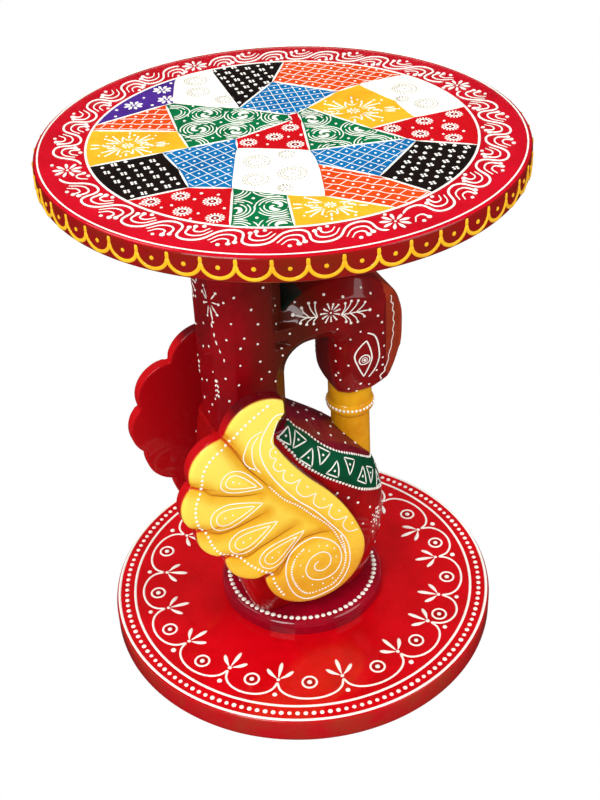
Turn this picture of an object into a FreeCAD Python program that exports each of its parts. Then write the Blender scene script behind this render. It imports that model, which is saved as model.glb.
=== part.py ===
# A low painted table: a round top carried by a carved bird on a round base.
# Millimetres. +X is the way the bird faces, +Y is its left side, +Z is up.
# The origin is the centre of the underside of the base.
import FreeCAD, Part
import math
import os
import Sketcher

doc = FreeCAD.newDocument("bird_table")
sheet = doc.addObject("Spreadsheet::Sheet", "sizes")

# Driving sizes: name, value, what it measures
driving = [
    ("table_height", 393.5, "floor to the top's upper face"),
    ("top_diameter", 304.8, "round top, across"),
    ("top_thickness", 16.2, "round top"),
    ("top_edge_round", 2.5, "rounding of both rims of the top"),
    ("top_middle_board", 104.0, "width of the top's middle board"),
    ("base_diameter", 291.4, "round base, across"),
    ("base_thickness", 20.5, "round base"),
    ("base_edge_round", 3.5, "rounding of both rims of the base"),
    ("base_middle_board", 98.0, "width of the base's middle board"),
    ("plinth_diameter", 125.0, "turned disc under the bird, across"),
    ("plinth_thickness", 11.0, "turned disc under the bird"),
    ("plinth_edge_round", 5.0, "rounding of the plinth's upper rim"),
    ("body_height", 161.0, "plinth to the seat that the post stands on"),
    ("body_depth", 138.0, "bird's body, back to breast"),
    ("body_width", 84.0, "between the two flats that carry the wings"),
    ("breast_radius", 48.0, "plan curve of the breast"),
    ("back_corner_radius", 14.0, "plan rounding of the body's back corners"),
    ("post_depth", 49.5, "post, along X"),
    ("neck_width", 56.0, "post, neck and head, along Y"),
    ("carved_chamfer", 11.0, "facet along the arrises of post, neck and head"),
    ("tenon_diameter", 30.0, "round tenon under the post"),
    ("tenon_length", 45.0, "round tenon under the post"),
    ("arch_rise", 57.5, "seat to the underside of the neck"),
    ("arch_radius", 20.0, "inner curve from the post into the neck"),
    ("neck_reach", 56.5, "post's front to the beak's axis"),
    ("neck_depth", 43.5, "neck, underside to crown"),
    ("notch_depth", 36.5, "crown down to the foot of the notch behind the neck"),
    ("notch_setback", 9.0, "foot of the notch, inside the post"),
    ("head_drop", 53.0, "underside of the neck to the head's lower face"),
    ("head_radius", 60.0, "round outline of the head"),
    ("head_reach", 41.0, "beak's axis to the ridge of the brow"),
    ("ridge_depth", 28.0, "length of the tapered front of the head"),
    ("ridge_radius", 4.0, "rounding of the front ridge"),
    ("jaw_height", 32.0, "length of the tapered lower end of the head"),
    ("jaw_rounding", 25.0, "height of the rounding under the head"),
    ("collar_diameter", 35.0, "bead round the beak's collar"),
    ("collar_height", 25.0, "collar, head to the beak's throat"),
    ("beak_diameter", 29.0, "beak below its collar"),
    ("wing_thickness", 11.5, "wing plank"),
    ("wing_length", 134.4, "wing, back to front"),
    ("wing_height", 193.0, "wing, bottom to top"),
    ("wing_rise", 14.5, "plinth to the lowest point of a wing"),
    ("left_wing_setback", 4.0, "left wing, further back than the right one"),
    ("left_wing_raise", 2.5, "left wing, higher than the right one"),
    ("wing_edge_round", 3.0, "rounding of the wing's outer rim"),
    ("feather_groove_depth", 3.4, "carved valley between two feathers, at the rim"),
    ("dowel_diameter", 8.0, "all dowels"),
    ("dowel_in_wing", 6.5, "depth of a dowel in the wing"),
    ("dowel_in_body", 22.0, "depth of a dowel in the body"),
    ("neck_dowel_reach", 20.0, "depth of a neck dowel on each side of its joint"),
    ("beak_dowel_reach", 18.0, "depth of the beak dowel on each side of its joint"),
    ("screw_diameter", 4.5, "shank of a wood screw"),
    ("screw_head_diameter", 9.0, "countersunk head"),
    ("screw_head_height", 3.2, "countersunk head"),
    ("screw_point", 6.0, "tapered point of a wood screw"),
    ("screw_bite", 32.0, "screw's length in the wood that it holds"),
    ("screw_sink", 3.0, "depth of a screw head below the face"),
    ("fit_clearance", 0.2, "gap round a dowel, a tenon or a screw"),
    ("seat_clearance", 0.3, "gap between the beak's end and the breast"),
    ("overrun", 10.0, "how far a cutter runs past what it cuts"),
]

size_of = {}
for row, (alias, value, meaning) in enumerate(driving, start=1):
    sheet.set("A" + str(row), alias)
    sheet.set("B" + str(row), str(value))
    sheet.set("C" + str(row), meaning)
    sheet.setAlias("B" + str(row), alias)
    size_of[alias] = value
doc.recompute()


# A length made of named sizes, known both as a number and as the expression
# that binds a property to the sheet
class Measure:
    def __init__(self, terms):
        self.terms = dict(terms)

    def __add__(self, other):
        total = dict(self.terms)
        for alias, share in other.terms.items():
            total[alias] = total.get(alias, 0) + share
        return Measure(total)

    def __mul__(self, share):
        return Measure({alias: factor * share for alias, factor in self.terms.items()})

    def __neg__(self):
        return self * -1

    def __sub__(self, other):
        return self + (-other)

    @property
    def value(self):
        return sum(size_of[alias] * share for alias, share in self.terms.items())

    @property
    def text(self):
        if not self.terms:
            return "0"
        return " + ".join(f"sizes.{alias} * ({share:.9g})" for alias, share in self.terms.items())


def S(alias):
    return Measure({alias: 1})


zero = Measure({})


# Helpers for sketches and solids
def bind(thing, **measures):
    for prop, measure in measures.items():
        thing.setExpression(prop, measure.text)


def put(thing, x=zero, y=zero, z=zero):
    for axis, measure in zip("xyz", (x, y, z)):
        thing.setExpression(".Placement.Base." + axis, measure.text)


def origin_plane(body, role):
    return next(part for part in body.Origin.OriginFeatures if part.Role == role)


def new_sketch(body, name, plane="XY_Plane", lift=zero):
    sketch = body.newObject("Sketcher::SketchObject", name)
    sketch.AttachmentSupport = [(origin_plane(body, plane), "")]
    sketch.MapMode = "FlatFace"
    sketch.setExpression(".AttachmentOffset.Base.z", lift.text)
    return sketch


def at(point):
    return FreeCAD.Vector(point[0].value, point[1].value, 0)


def pin_point(sketch, geometry, end, point):
    for kind, measure in zip(("DistanceX", "DistanceY"), point):
        index = sketch.addConstraint(Sketcher.Constraint(kind, -1, 1, geometry, end, measure.value))
        sketch.setExpression("Constraints[" + str(index) + "]", measure.text)


# An outline of stretches, each starting where the last one ends: a pair of
# points is a line, a triple is an arc through its middle point, and a triple
# with the word smooth is an arc that leaves the last stretch without a corner
def heading(stretch, curve):
    start = at(stretch[0])
    end = at(stretch[-1])
    if len(stretch) == 2:
        return (end - start).normalize()
    arc = curve.toShape().Curve
    way = arc.tangent(arc.parameter(end))[0]
    if way * (end - start) < 0:
        way = -way
    return way.normalize()


def smooth_middle(start, end, way):
    chord = end - start
    turn = way.getAngle(chord)
    if way.cross(chord).z < 0:
        turn = -turn
    half_turn = FreeCAD.Rotation(FreeCAD.Vector(0, 0, 1), math.degrees(turn * 0.5))
    return start + half_turn.multVec(way) * (chord.Length * 0.5 / math.cos(turn * 0.5))


def draw_outline(sketch, stretches):
    ends = []
    way = None
    for stretch in stretches:
        start = at(stretch[0])
        finish = at(stretch[-1])
        if len(stretch) == 2:
            curve = Part.LineSegment(start, finish)
        else:
            smooth = stretch[1] == "smooth"
            middle = smooth_middle(start, finish, way) if smooth else at(stretch[1])
            curve = Part.Arc(start, middle, finish)
        geometry = sketch.addGeometry(curve)
        first = 1
        if (sketch.getPoint(geometry, 1) - start).Length > (sketch.getPoint(geometry, 2) - start).Length:
            first = 2
        way = heading(stretch, curve)
        ends.append((geometry, first))
    for index, stretch in enumerate(stretches):
        geometry, first = ends[index]
        last_geometry, last_first = ends[index - 1]
        smooth = len(stretch) == 3 and stretch[1] == "smooth"
        joint = "Tangent" if smooth else "Coincident"
        sketch.addConstraint(Sketcher.Constraint(
            joint, last_geometry, 3 - last_first, geometry, first))
        pin_point(sketch, geometry, first, stretch[0])
        if len(stretch) == 3 and not smooth:
            mark = sketch.addGeometry(Part.Point(at(stretch[1])), True)
            pin_point(sketch, mark, 1, stretch[1])
            sketch.addConstraint(Sketcher.Constraint("PointOnObject", mark, 1, geometry))


def draw_polygon(sketch, points):
    draw_outline(sketch, [(point, points[(index + 1) % len(points)])
                          for index, point in enumerate(points)])


def draw_circle(sketch, centre, radius):
    circle = sketch.addGeometry(
        Part.Circle(at(centre), FreeCAD.Vector(0, 0, 1), radius.value))
    pin_point(sketch, circle, 3, centre)
    index = sketch.addConstraint(Sketcher.Constraint("Radius", circle, radius.value))
    sketch.setExpression("Constraints[" + str(index) + "]", radius.text)


def new_body(name):
    return doc.addObject("PartDesign::Body", name)


def revolve(body, name, stretches):
    sketch = new_sketch(body, name + "_profile", "XZ_Plane")
    draw_outline(sketch, stretches)
    feature = body.newObject("PartDesign::Revolution", name)
    feature.Profile = sketch
    feature.ReferenceAxis = (sketch, ["V_Axis"])
    feature.Angle = 360
    return feature


def cylinder(name, radius, length, x=zero, y=zero, z=zero, axis=None):
    rod = doc.addObject("Part::Cylinder", name)
    bind(rod, Radius=radius, Height=length)
    if axis is not None:
        rod.Placement = FreeCAD.Placement(
            FreeCAD.Vector(), FreeCAD.Rotation(FreeCAD.Vector(0, 0, 1), axis))
    put(rod, x, y, z)
    return rod


def group(kind, name, members):
    thing = doc.addObject(kind, name)
    if kind == "Part::Compound":
        thing.Links = members
    else:
        thing.Shapes = members
    return thing


def cut(name, base, tool):
    thing = doc.addObject("Part::Cut", name)
    thing.Base = base
    thing.Tool = tool
    return thing


subparts = {}


def finish_subpart(name, thing):
    thing.Label = name
    subparts[name] = thing


# Levels and stations that several pieces share
base_top = S("base_thickness")
plinth_top = base_top + S("plinth_thickness")
seat = plinth_top + S("body_height")
top_under = S("table_height") - S("top_thickness")
neck_under = seat + S("arch_rise")
crown = neck_under + S("neck_depth")
head_under = neck_under - S("head_drop")
half_neck = S("neck_width") * 0.5
half_body = S("body_width") * 0.5
back_share = -0.453
post_back = S("body_depth") * back_share
post_front = post_back + S("post_depth")
post_middle = post_back + S("post_depth") * 0.5
neck_joint = post_front + S("arch_radius")
beak_axis = post_front + S("neck_reach")
brow = beak_axis + S("head_reach")

# The middle of a quarter arc lies this share of its radius inside both tangents
quarter_arc_share = 1 - 0.5 ** 0.5


# Wood screws: a countersunk head, a plain shank and a point
def wood_screw(name, length, x, y, face, upwards):
    body = new_body(name)
    head = S("screw_head_diameter") * 0.5
    shank = S("screw_diameter") * 0.5
    tip_share = 0.1
    way = 1 if upwards else -1
    deep = S("screw_sink") * way
    revolve(body, name + "_turned", [
        ((zero, deep), (head, deep)),
        ((head, deep), (shank, deep + S("screw_head_height") * way)),
        ((shank, deep + S("screw_head_height") * way), (shank, deep + (length - S("screw_point")) * way)),
        ((shank, deep + (length - S("screw_point")) * way), (shank * tip_share, deep + length * way)),
        ((shank * tip_share, deep + length * way), (zero, deep + length * way)),
        ((zero, deep + length * way), (zero, deep)),
    ])
    put(body, x, y, face)
    return body


# The hole that a screw sits in, from the face down to just past its point
def screw_hole(name, length, x, y, face, upwards):
    body = new_body(name)
    bore = S("screw_diameter") * 0.5 + S("fit_clearance")
    mouth = S("screw_head_diameter") * 0.5 + S("fit_clearance")
    way = 1 if upwards else -1
    low = zero - S("overrun") * way
    flat = (S("screw_sink") - S("fit_clearance")) * way
    throat = (S("screw_sink") + S("screw_head_height") + S("fit_clearance")) * way
    end = (S("screw_sink") + length + S("fit_clearance")) * way
    revolve(body, name + "_turned", [
        ((zero, low), (mouth, low)),
        ((mouth, low), (mouth, flat)),
        ((mouth, flat), (bore, throat)),
        ((bore, throat), (bore, end)),
        ((bore, end), (zero, end)),
        ((zero, end), (zero, low)),
    ])
    put(body, x, y, face)
    return body


# Round discs, glued up from three boards each
def disc(name, diameter, thickness, rounding, level):
    body = new_body(name)
    rim = diameter * 0.5
    inset = rounding * quarter_arc_share
    revolve(body, name + "_turned", [
        ((zero, zero), (rim - rounding, zero)),
        ((rim - rounding, zero), (rim - inset, inset), (rim, rounding)),
        ((rim, rounding), (rim, thickness - rounding)),
        ((rim, thickness - rounding), (rim - inset, thickness - inset), (rim - rounding, thickness)),
        ((rim - rounding, thickness), (zero, thickness)),
        ((zero, thickness), (zero, zero)),
    ])
    put(body, z=level)
    return body


def glued_boards(prefix, blank, diameter, thickness, middle, level, holes):
    half = middle * 0.5
    reach = diameter * 0.5 + S("overrun")
    spans = {"right": (-reach, reach - half), "centre": (-half, middle), "left": (half, reach - half)}
    for side, (start, width) in spans.items():
        box = doc.addObject("Part::Box", prefix + "_" + side + "_span")
        bind(box, Length=reach * 2, Width=width, Height=thickness + S("overrun") * 2)
        put(box, -reach, start, level - S("overrun"))
        board = doc.addObject("Part::Common", prefix + "_" + side + "_sawn")
        board.Base = blank
        board.Tool = box
        if side == "centre":
            board = cut(prefix + "_centre_bored", board, holes)
        finish_subpart(prefix + "_" + side, board)


# Screws up through the base and the plinth into the body
base_screw_length = S("base_thickness") + S("plinth_thickness") + S("screw_bite") - S("screw_sink")
base_screw_x_share = 0.24
base_screw_y_share = 0.24
base_screws = []
base_screw_holes = []
for row in (-1, 1):
    for column in (-1, 1):
        spot = (S("body_depth") * base_screw_x_share * row, S("body_width") * base_screw_y_share * column)
        number = str(len(base_screws) + 1)
        base_screws.append(wood_screw(
            "base_screw_" + number, base_screw_length, spot[0], spot[1], zero, True))
        base_screw_holes.append(screw_hole(
            "base_screw_hole_" + number, base_screw_length, spot[0], spot[1], zero, True))
base_holes = group("Part::MultiFuse", "base_screw_holes", base_screw_holes)
finish_subpart("base_screws", group("Part::Compound", "base_screw_set", base_screws))

# Screws down through the top into the end of the post, under filler plugs
top_screw_length = S("top_thickness") + S("screw_bite") - S("screw_sink")
top_screw_x_share = 0.24
top_screw_y_share = 0.2
top_screw_spots = [
    (post_middle - S("post_depth") * top_screw_x_share, zero),
    (post_middle + S("post_depth") * top_screw_x_share, S("neck_width") * top_screw_y_share),
    (post_middle + S("post_depth") * top_screw_x_share, -S("neck_width") * top_screw_y_share),
]
top_screws = []
top_screw_holes = []
top_plugs = []
for number, spot in enumerate(top_screw_spots, start=1):
    top_screws.append(wood_screw(
        "top_screw_" + str(number), top_screw_length, spot[0], spot[1], S("table_height"), False))
    top_screw_holes.append(screw_hole(
        "top_screw_hole_" + str(number), top_screw_length, spot[0], spot[1], S("table_height"), False))
    top_plugs.append(cylinder(
        "top_plug_" + str(number), S("screw_head_diameter") * 0.5, S("screw_sink") - S("fit_clearance"),
        spot[0], spot[1], S("table_height") - S("screw_sink") + S("fit_clearance")))
top_holes = group("Part::MultiFuse", "top_screw_holes", top_screw_holes)
finish_subpart("top_screws", group("Part::Compound", "top_screw_set", top_screws))
finish_subpart("top_screw_plugs", group("Part::Compound", "top_plug_set", top_plugs))

# Top
top_blank = disc("top_blank", S("top_diameter"), S("top_thickness"), S("top_edge_round"), top_under)
glued_boards("top_board", top_blank, S("top_diameter"), S("top_thickness"),
             S("top_middle_board"), top_under, top_holes)

# Base
base_blank = disc("base_blank", S("base_diameter"), S("base_thickness"), S("base_edge_round"), zero)
glued_boards("base_board", base_blank, S("base_diameter"), S("base_thickness"),
             S("base_middle_board"), zero, base_holes)

# Plinth, turned with a rounded upper rim
plinth_body = new_body("plinth_blank")
plinth_rim = S("plinth_diameter") * 0.5
plinth_inset = S("plinth_edge_round") * quarter_arc_share
revolve(plinth_body, "plinth_turned", [
    ((zero, zero), (plinth_rim, zero)),
    ((plinth_rim, zero), (plinth_rim, S("plinth_thickness") - S("plinth_edge_round"))),
    ((plinth_rim, S("plinth_thickness") - S("plinth_edge_round")),
     (plinth_rim - plinth_inset, S("plinth_thickness") - plinth_inset),
     (plinth_rim - S("plinth_edge_round"), S("plinth_thickness"))),
    ((plinth_rim - S("plinth_edge_round"), S("plinth_thickness")), (zero, S("plinth_thickness"))),
    ((zero, S("plinth_thickness")), (zero, zero)),
])
put(plinth_body, z=base_top)
finish_subpart("plinth", cut("plinth_bored", plinth_body, base_holes))

# Body: a loft through level sections, each blunt at the breast and square at
# the back. Shares: height, breast and back station, half width, front corner
body_section_shares = [
    (0.000, 0.345, -0.360, 0.420, 0.36),
    (0.130, 0.404, -0.410, 0.500, 0.40),
    (0.290, 0.459, -0.450, 0.545, 0.42),
    (0.460, 0.459, -0.470, 0.550, 0.42),
    (0.645, 0.388, -0.475, 0.540, 0.40),
    (0.800, 0.228, -0.475, 0.500, 0.36),
    (0.935, 0.022, -0.475, 0.410, 0.28),
    (1.000, -0.062, -0.475, 0.350, 0.16),
]


def draw_body_section(sketch, front, back, half, corner, back_corner):
    big = S("breast_radius").value
    small = corner.value
    rear = back_corner.value
    big_x = front.value - big
    small_x = big_x + ((big - small) ** 2 - (half.value - small) ** 2) ** 0.5
    scale = big / (big - small)
    meet = FreeCAD.Vector(big_x + (small_x - big_x) * scale, (half.value - small) * scale, 0)
    diagonal = 0.5 ** 0.5
    lean = ((meet.x - small_x) / small, (meet.y - half.value + small) / small + 1)
    length = (lean[0] ** 2 + lean[1] ** 2) ** 0.5
    swell = FreeCAD.Vector(small_x + small * lean[0] / length,
                           half.value - small + small * lean[1] / length, 0)
    rear_x = back.value + rear
    bend = FreeCAD.Vector(rear_x - rear * diagonal, half.value - rear + rear * diagonal, 0)
    side_front = FreeCAD.Vector(small_x, half.value, 0)
    side_back = FreeCAD.Vector(rear_x, half.value, 0)
    rear_side = FreeCAD.Vector(back.value, half.value - rear, 0)

    def flip(point):
        return FreeCAD.Vector(point.x, -point.y, 0)

    tip = FreeCAD.Vector(front.value, 0, 0)
    parts = [
        Part.Arc(flip(meet), tip, meet),
        Part.Arc(meet, swell, side_front),
        Part.LineSegment(side_front, side_back),
        Part.Arc(side_back, bend, rear_side),
        Part.LineSegment(rear_side, flip(rear_side)),
        Part.Arc(flip(rear_side), flip(bend), flip(side_back)),
        Part.LineSegment(flip(side_back), flip(side_front)),
        Part.Arc(flip(side_front), flip(swell), flip(meet)),
    ]
    numbers = [sketch.addGeometry(part) for part in parts]
    for index, number in enumerate(numbers):
        sketch.addConstraint(Sketcher.Constraint(
            "Tangent", numbers[index - 1], 2, number, 1))
    sketch.addConstraint(Sketcher.Constraint("Horizontal", numbers[2]))
    sketch.addConstraint(Sketcher.Constraint("Horizontal", numbers[6]))
    sketch.addConstraint(Sketcher.Constraint("Vertical", numbers[4]))
    sketch.addConstraint(Sketcher.Constraint("PointOnObject", numbers[0], 3, -1))
    bound = [
        (Sketcher.Constraint("Radius", numbers[0], big), S("breast_radius")),
        (Sketcher.Constraint("Radius", numbers[1], small), corner),
        (Sketcher.Constraint("Radius", numbers[7], small), corner),
        (Sketcher.Constraint("Radius", numbers[3], rear), back_corner),
        (Sketcher.Constraint("Radius", numbers[5], rear), back_corner),
        (Sketcher.Constraint("DistanceX", -1, 1, numbers[0], 3, big_x), front - S("breast_radius")),
        (Sketcher.Constraint("DistanceY", -1, 1, numbers[2], 1, half.value), half),
        (Sketcher.Constraint("DistanceY", -1, 1, numbers[6], 1, -half.value), -half),
        (Sketcher.Constraint("DistanceX", -1, 1, numbers[4], 1, back.value), back),
    ]
    for constraint, measure in bound:
        index = sketch.addConstraint(constraint)
        sketch.setExpression("Constraints[" + str(index) + "]", measure.text)


body_blank = new_body("body_blank")
body_sections = []
for number, shares in enumerate(body_section_shares, start=1):
    level_share, front_share, rear_share, half_share, corner_share = shares
    sketch = new_sketch(body_blank, "body_section_" + str(number),
                        lift=plinth_top + S("body_height") * level_share)
    draw_body_section(sketch, S("body_depth") * front_share, S("body_depth") * rear_share,
                      S("body_width") * half_share, S("body_width") * corner_share,
                      S("back_corner_radius"))
    body_sections.append(sketch)
body_loft = body_blank.newObject("PartDesign::AdditiveLoft", "body_carved")
body_loft.Profile = body_sections[0]
body_loft.Sections = body_sections[1:]
doc.recompute()

# Flats on both sides, where the wings are glued on
flats = new_sketch(body_blank, "wing_flats", lift=plinth_top)
for side in (1, -1):
    near = half_body * side
    far = (S("body_width") + S("overrun")) * side
    rim = S("body_depth") + S("overrun")
    draw_polygon(flats, [(-rim, near), (rim, near), (rim, far), (-rim, far)])
flat_cut = body_blank.newObject("PartDesign::Pocket", "wing_flats_cut")
flat_cut.Profile = flats
flat_cut.Type = 1
flat_cut.Reversed = True
doc.recompute()

# Mortise for the post's tenon
mortise = new_sketch(body_blank, "post_mortise", lift=seat)
draw_circle(mortise, (post_middle, zero), S("tenon_diameter") * 0.5 + S("fit_clearance"))
mortise_cut = body_blank.newObject("PartDesign::Pocket", "post_mortise_cut")
mortise_cut.Profile = mortise
bind(mortise_cut, Length=S("tenon_length") + S("fit_clearance"))
doc.recompute()

# Dowels between the body and the wings
sideways = FreeCAD.Vector(0, 1, 0)
wing_dowel_spot_shares = [(-0.27, 0.50), (-0.03, 0.42)]
wing_dowels = {}
wing_dowel_holes = []
for side_name, side in (("left", 1), ("right", -1)):
    inner = half_body - S("dowel_in_body")
    outer = half_body + S("dowel_in_wing")
    rods = []
    for number, (x_share, z_share) in enumerate(wing_dowel_spot_shares, start=1):
        x = S("body_depth") * x_share
        z = plinth_top + S("body_height") * z_share
        name = "wing_dowel_" + side_name + "_" + str(number)
        start = inner if side == 1 else -outer
        rods.append(cylinder(name, S("dowel_diameter") * 0.5, outer - inner, x, start, z, sideways))
        wing_dowel_holes.append(cylinder(
            name + "_hole", S("dowel_diameter") * 0.5 + S("fit_clearance"),
            outer - inner + S("fit_clearance") * 2, x, start - S("fit_clearance"), z, sideways))
    wing_dowels[side_name] = group("Part::Compound", "wing_dowel_set_" + side_name, rods)
    finish_subpart("wing_dowels_" + side_name, wing_dowels[side_name])
wing_holes = group("Part::MultiFuse", "wing_dowel_holes", wing_dowel_holes)
body_holes = group("Part::MultiFuse", "body_holes", [base_holes, wing_holes])
finish_subpart("body", cut("body_bored", body_blank, body_holes))

# Facets along the arrises of a pad that is as wide as the neck, all but those
# between two levels or stations that are left out
def side_edges(shape, left_out):
    names = []
    for number, edge in enumerate(shape.Edges, start=1):
        box = edge.BoundBox
        flat = box.YLength < tolerance and abs(abs(box.YMin) - half_neck.value) < tolerance
        skipped = any(left_out_box.isInside(box) for left_out_box in left_out)
        if flat and not skipped:
            names.append("Edge" + str(number))
    return names


def slice_box(low_x, high_x, low_z, high_z):
    wide = S("neck_width").value
    return FreeCAD.BoundBox(low_x.value - tolerance, -wide, low_z.value - tolerance,
                            high_x.value + tolerance, wide, high_z.value + tolerance)


def pad_along_y(body, name, stretches):
    sketch = new_sketch(body, name + "_outline", "XZ_Plane")
    draw_outline(sketch, stretches)
    pad = body.newObject("PartDesign::Pad", name)
    pad.Profile = sketch
    pad.Midplane = True
    bind(pad, Length=S("neck_width"))
    doc.recompute()
    return pad


def facet(body, name, pad, left_out):
    feature = body.newObject("PartDesign::Chamfer", name)
    feature.Base = (pad, side_edges(pad.Shape, left_out))
    bind(feature, Size=S("carved_chamfer"))
    doc.recompute()
    return feature


tolerance = S("fit_clearance").value * 0.1

# Post: a straight column with a facet on each corner
column = new_body("column_blank")
column_pad = pad_along_y(column, "column_sawn", [
    ((post_back, seat), (post_front, seat)),
    ((post_front, seat), (post_front, top_under)),
    ((post_front, top_under), (post_back, top_under)),
    ((post_back, top_under), (post_back, seat)),
])
facet(column, "column_facets", column_pad, [
    slice_box(post_back, post_front, seat, seat),
    slice_box(post_back, post_front, top_under, top_under),
])

# Neck and head: an arch out of the post, then a round head, nose down
neck = new_body("neck_blank")
arch = S("arch_radius")
throat_curve_share = 0.35
throat_share = 0.585
throat_level_share = 0.56
jaw_share = 0.44
throat_curve = arch * throat_curve_share
throat = beak_axis - S("collar_diameter") * throat_share
head_centre = (brow - S("head_radius"), crown - S("head_radius"))


def on_head(turn):
    angle = math.radians(turn)
    radius = S("head_radius")
    return (head_centre[0] + radius * math.cos(angle), head_centre[1] + radius * math.sin(angle))


arch_foot = (post_front, neck_under - arch)
arch_middle = (post_front + arch * quarter_arc_share, neck_under - arch * quarter_arc_share)
arch_top = (neck_joint, neck_under)
throat_top = (throat - throat_curve, neck_under)
throat_middle = (throat - throat_curve * quarter_arc_share, neck_under - throat_curve * quarter_arc_share)
throat_side = (throat, neck_under - throat_curve)
throat_low = (throat, head_under + S("head_drop") * throat_level_share)
jaw = (beak_axis - S("collar_diameter") * jaw_share, head_under)
cheek_turn = -22
cheek = on_head(cheek_turn)
chin_slope = math.tan(math.radians(90 + cheek_turn) * 0.5)
chin = (cheek[0] - (cheek[1] - head_under) * (1 / chin_slope), head_under)
brow_point = on_head(10)
nape = on_head(106)
root_low = (post_middle, arch_foot[1] - arch)
root_front = (post_front, root_low[1])
root_high = (post_front - S("notch_setback"), crown - S("notch_depth"))
root_back = (post_middle, root_high[1])
neck_pad = pad_along_y(neck, "neck_sawn", [
    (root_low, root_front),
    (root_front, arch_foot),
    (arch_foot, arch_middle, arch_top),
    (arch_top, throat_top),
    (throat_top, throat_middle, throat_side),
    (throat_side, throat_low),
    (throat_low, "smooth", jaw),
    (jaw, chin),
    (chin, "smooth", cheek),
    (cheek, brow_point, nape),
    (nape, "smooth", root_high),
    (root_high, root_back),
    (root_back, root_low),
])
neck_facets = facet(neck, "neck_facets", neck_pad, [
    slice_box(post_middle, post_front, root_low[1], root_low[1]),
    slice_box(post_middle, post_front, root_high[1], root_high[1]),
    slice_box(post_middle, post_middle, root_low[1], root_high[1]),
])

# The front of the head tapers to an upright ridge
nose = new_sketch(neck, "nose_cut_outline")
nose_back = brow - S("ridge_depth")
nose_side_share = 1.2
nose_side = S("ridge_radius") * nose_side_share
nose_turn = brow - S("ridge_radius")
clear = half_neck + S("overrun")
ahead = brow + S("overrun")
draw_outline(nose, [
    ((nose_back, half_neck), (nose_back, clear)),
    ((nose_back, clear), (ahead, clear)),
    ((ahead, clear), (ahead, -clear)),
    ((ahead, -clear), (nose_back, -clear)),
    ((nose_back, -clear), (nose_back, -half_neck)),
    ((nose_back, -half_neck), (nose_turn, -nose_side)),
    ((nose_turn, -nose_side), (brow, zero), (nose_turn, nose_side)),
    ((nose_turn, nose_side), (nose_back, half_neck)),
])
nose_cut = neck.newObject("PartDesign::Pocket", "nose_cut")
nose_cut.Profile = nose
nose_cut.Type = 1
nose_cut.Reversed = True
doc.recompute()

# The lower end of the head narrows towards the collar
jaw_cut_outline = new_sketch(neck, "jaw_cut_outline", "YZ_Plane", neck_joint)
jaw_side_share = 0.53
jaw_side = S("collar_diameter") * jaw_side_share
jaw_top = head_under + S("jaw_height")
below = head_under - S("overrun")
for side in (1, -1):
    draw_polygon(jaw_cut_outline, [
        (half_neck * side, jaw_top), (clear * side, jaw_top), (clear * side, below),
        (jaw_side * side, below), (jaw_side * side, head_under)])
jaw_cut = neck.newObject("PartDesign::Pocket", "jaw_cut")
jaw_cut.Profile = jaw_cut_outline
jaw_cut.Type = 1
jaw_cut.Reversed = True
doc.recompute()

# The glue joint behind the neck, with its two dowels
hook = group("Part::MultiFuse", "hook", [column, neck])
hook.Refine = True
joint_side = doc.addObject("Part::Box", "joint_side")
bind(joint_side, Length=S("body_depth"), Width=S("neck_width") * 2, Height=S("table_height"))
put(joint_side, neck_joint, -S("neck_width"))
forwards = FreeCAD.Vector(1, 0, 0)
neck_dowel_side_share = 0.21
neck_dowel_level_share = 0.36
neck_dowels = []
neck_dowel_holes = []
for number, side in enumerate((1, -1), start=1):
    y = S("neck_width") * neck_dowel_side_share * side
    z = neck_under + S("neck_depth") * neck_dowel_level_share
    reach = S("neck_dowel_reach")
    name = "neck_dowel_" + str(number)
    neck_dowels.append(cylinder(
        name, S("dowel_diameter") * 0.5, reach * 2, neck_joint - reach, y, z, forwards))
    neck_dowel_holes.append(cylinder(
        name + "_hole", S("dowel_diameter") * 0.5 + S("fit_clearance"),
        reach * 2 + S("fit_clearance") * 2, neck_joint - reach - S("fit_clearance"), y, z, forwards))
finish_subpart("neck_dowels", group("Part::Compound", "neck_dowel_set", neck_dowels))

# Dowel between the head and the beak
beak_reach = S("beak_dowel_reach")
beak_dowel = cylinder("beak_dowel_rod", S("dowel_diameter") * 0.5, beak_reach * 2,
                      beak_axis, zero, head_under - beak_reach)
beak_dowel_hole = cylinder("beak_dowel_hole", S("dowel_diameter") * 0.5 + S("fit_clearance"),
                           beak_reach * 2 + S("fit_clearance") * 2,
                           beak_axis, zero, head_under - beak_reach - S("fit_clearance"))
finish_subpart("beak_dowel", beak_dowel)

post_sawn = cut("post_sawn", hook, joint_side)
tenon = cylinder("post_tenon", S("tenon_diameter") * 0.5, S("tenon_length"),
                 post_middle, zero, seat - S("tenon_length"))
post_tenoned = group("Part::MultiFuse", "post_tenoned", [post_sawn, tenon])
post_holes = group("Part::MultiFuse", "post_holes", [top_holes] + neck_dowel_holes)
finish_subpart("neck_post", cut("post_bored", post_tenoned, post_holes))

head_sawn = doc.addObject("Part::Common", "head_sawn")
head_sawn.Base = hook
head_sawn.Tool = joint_side
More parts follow.
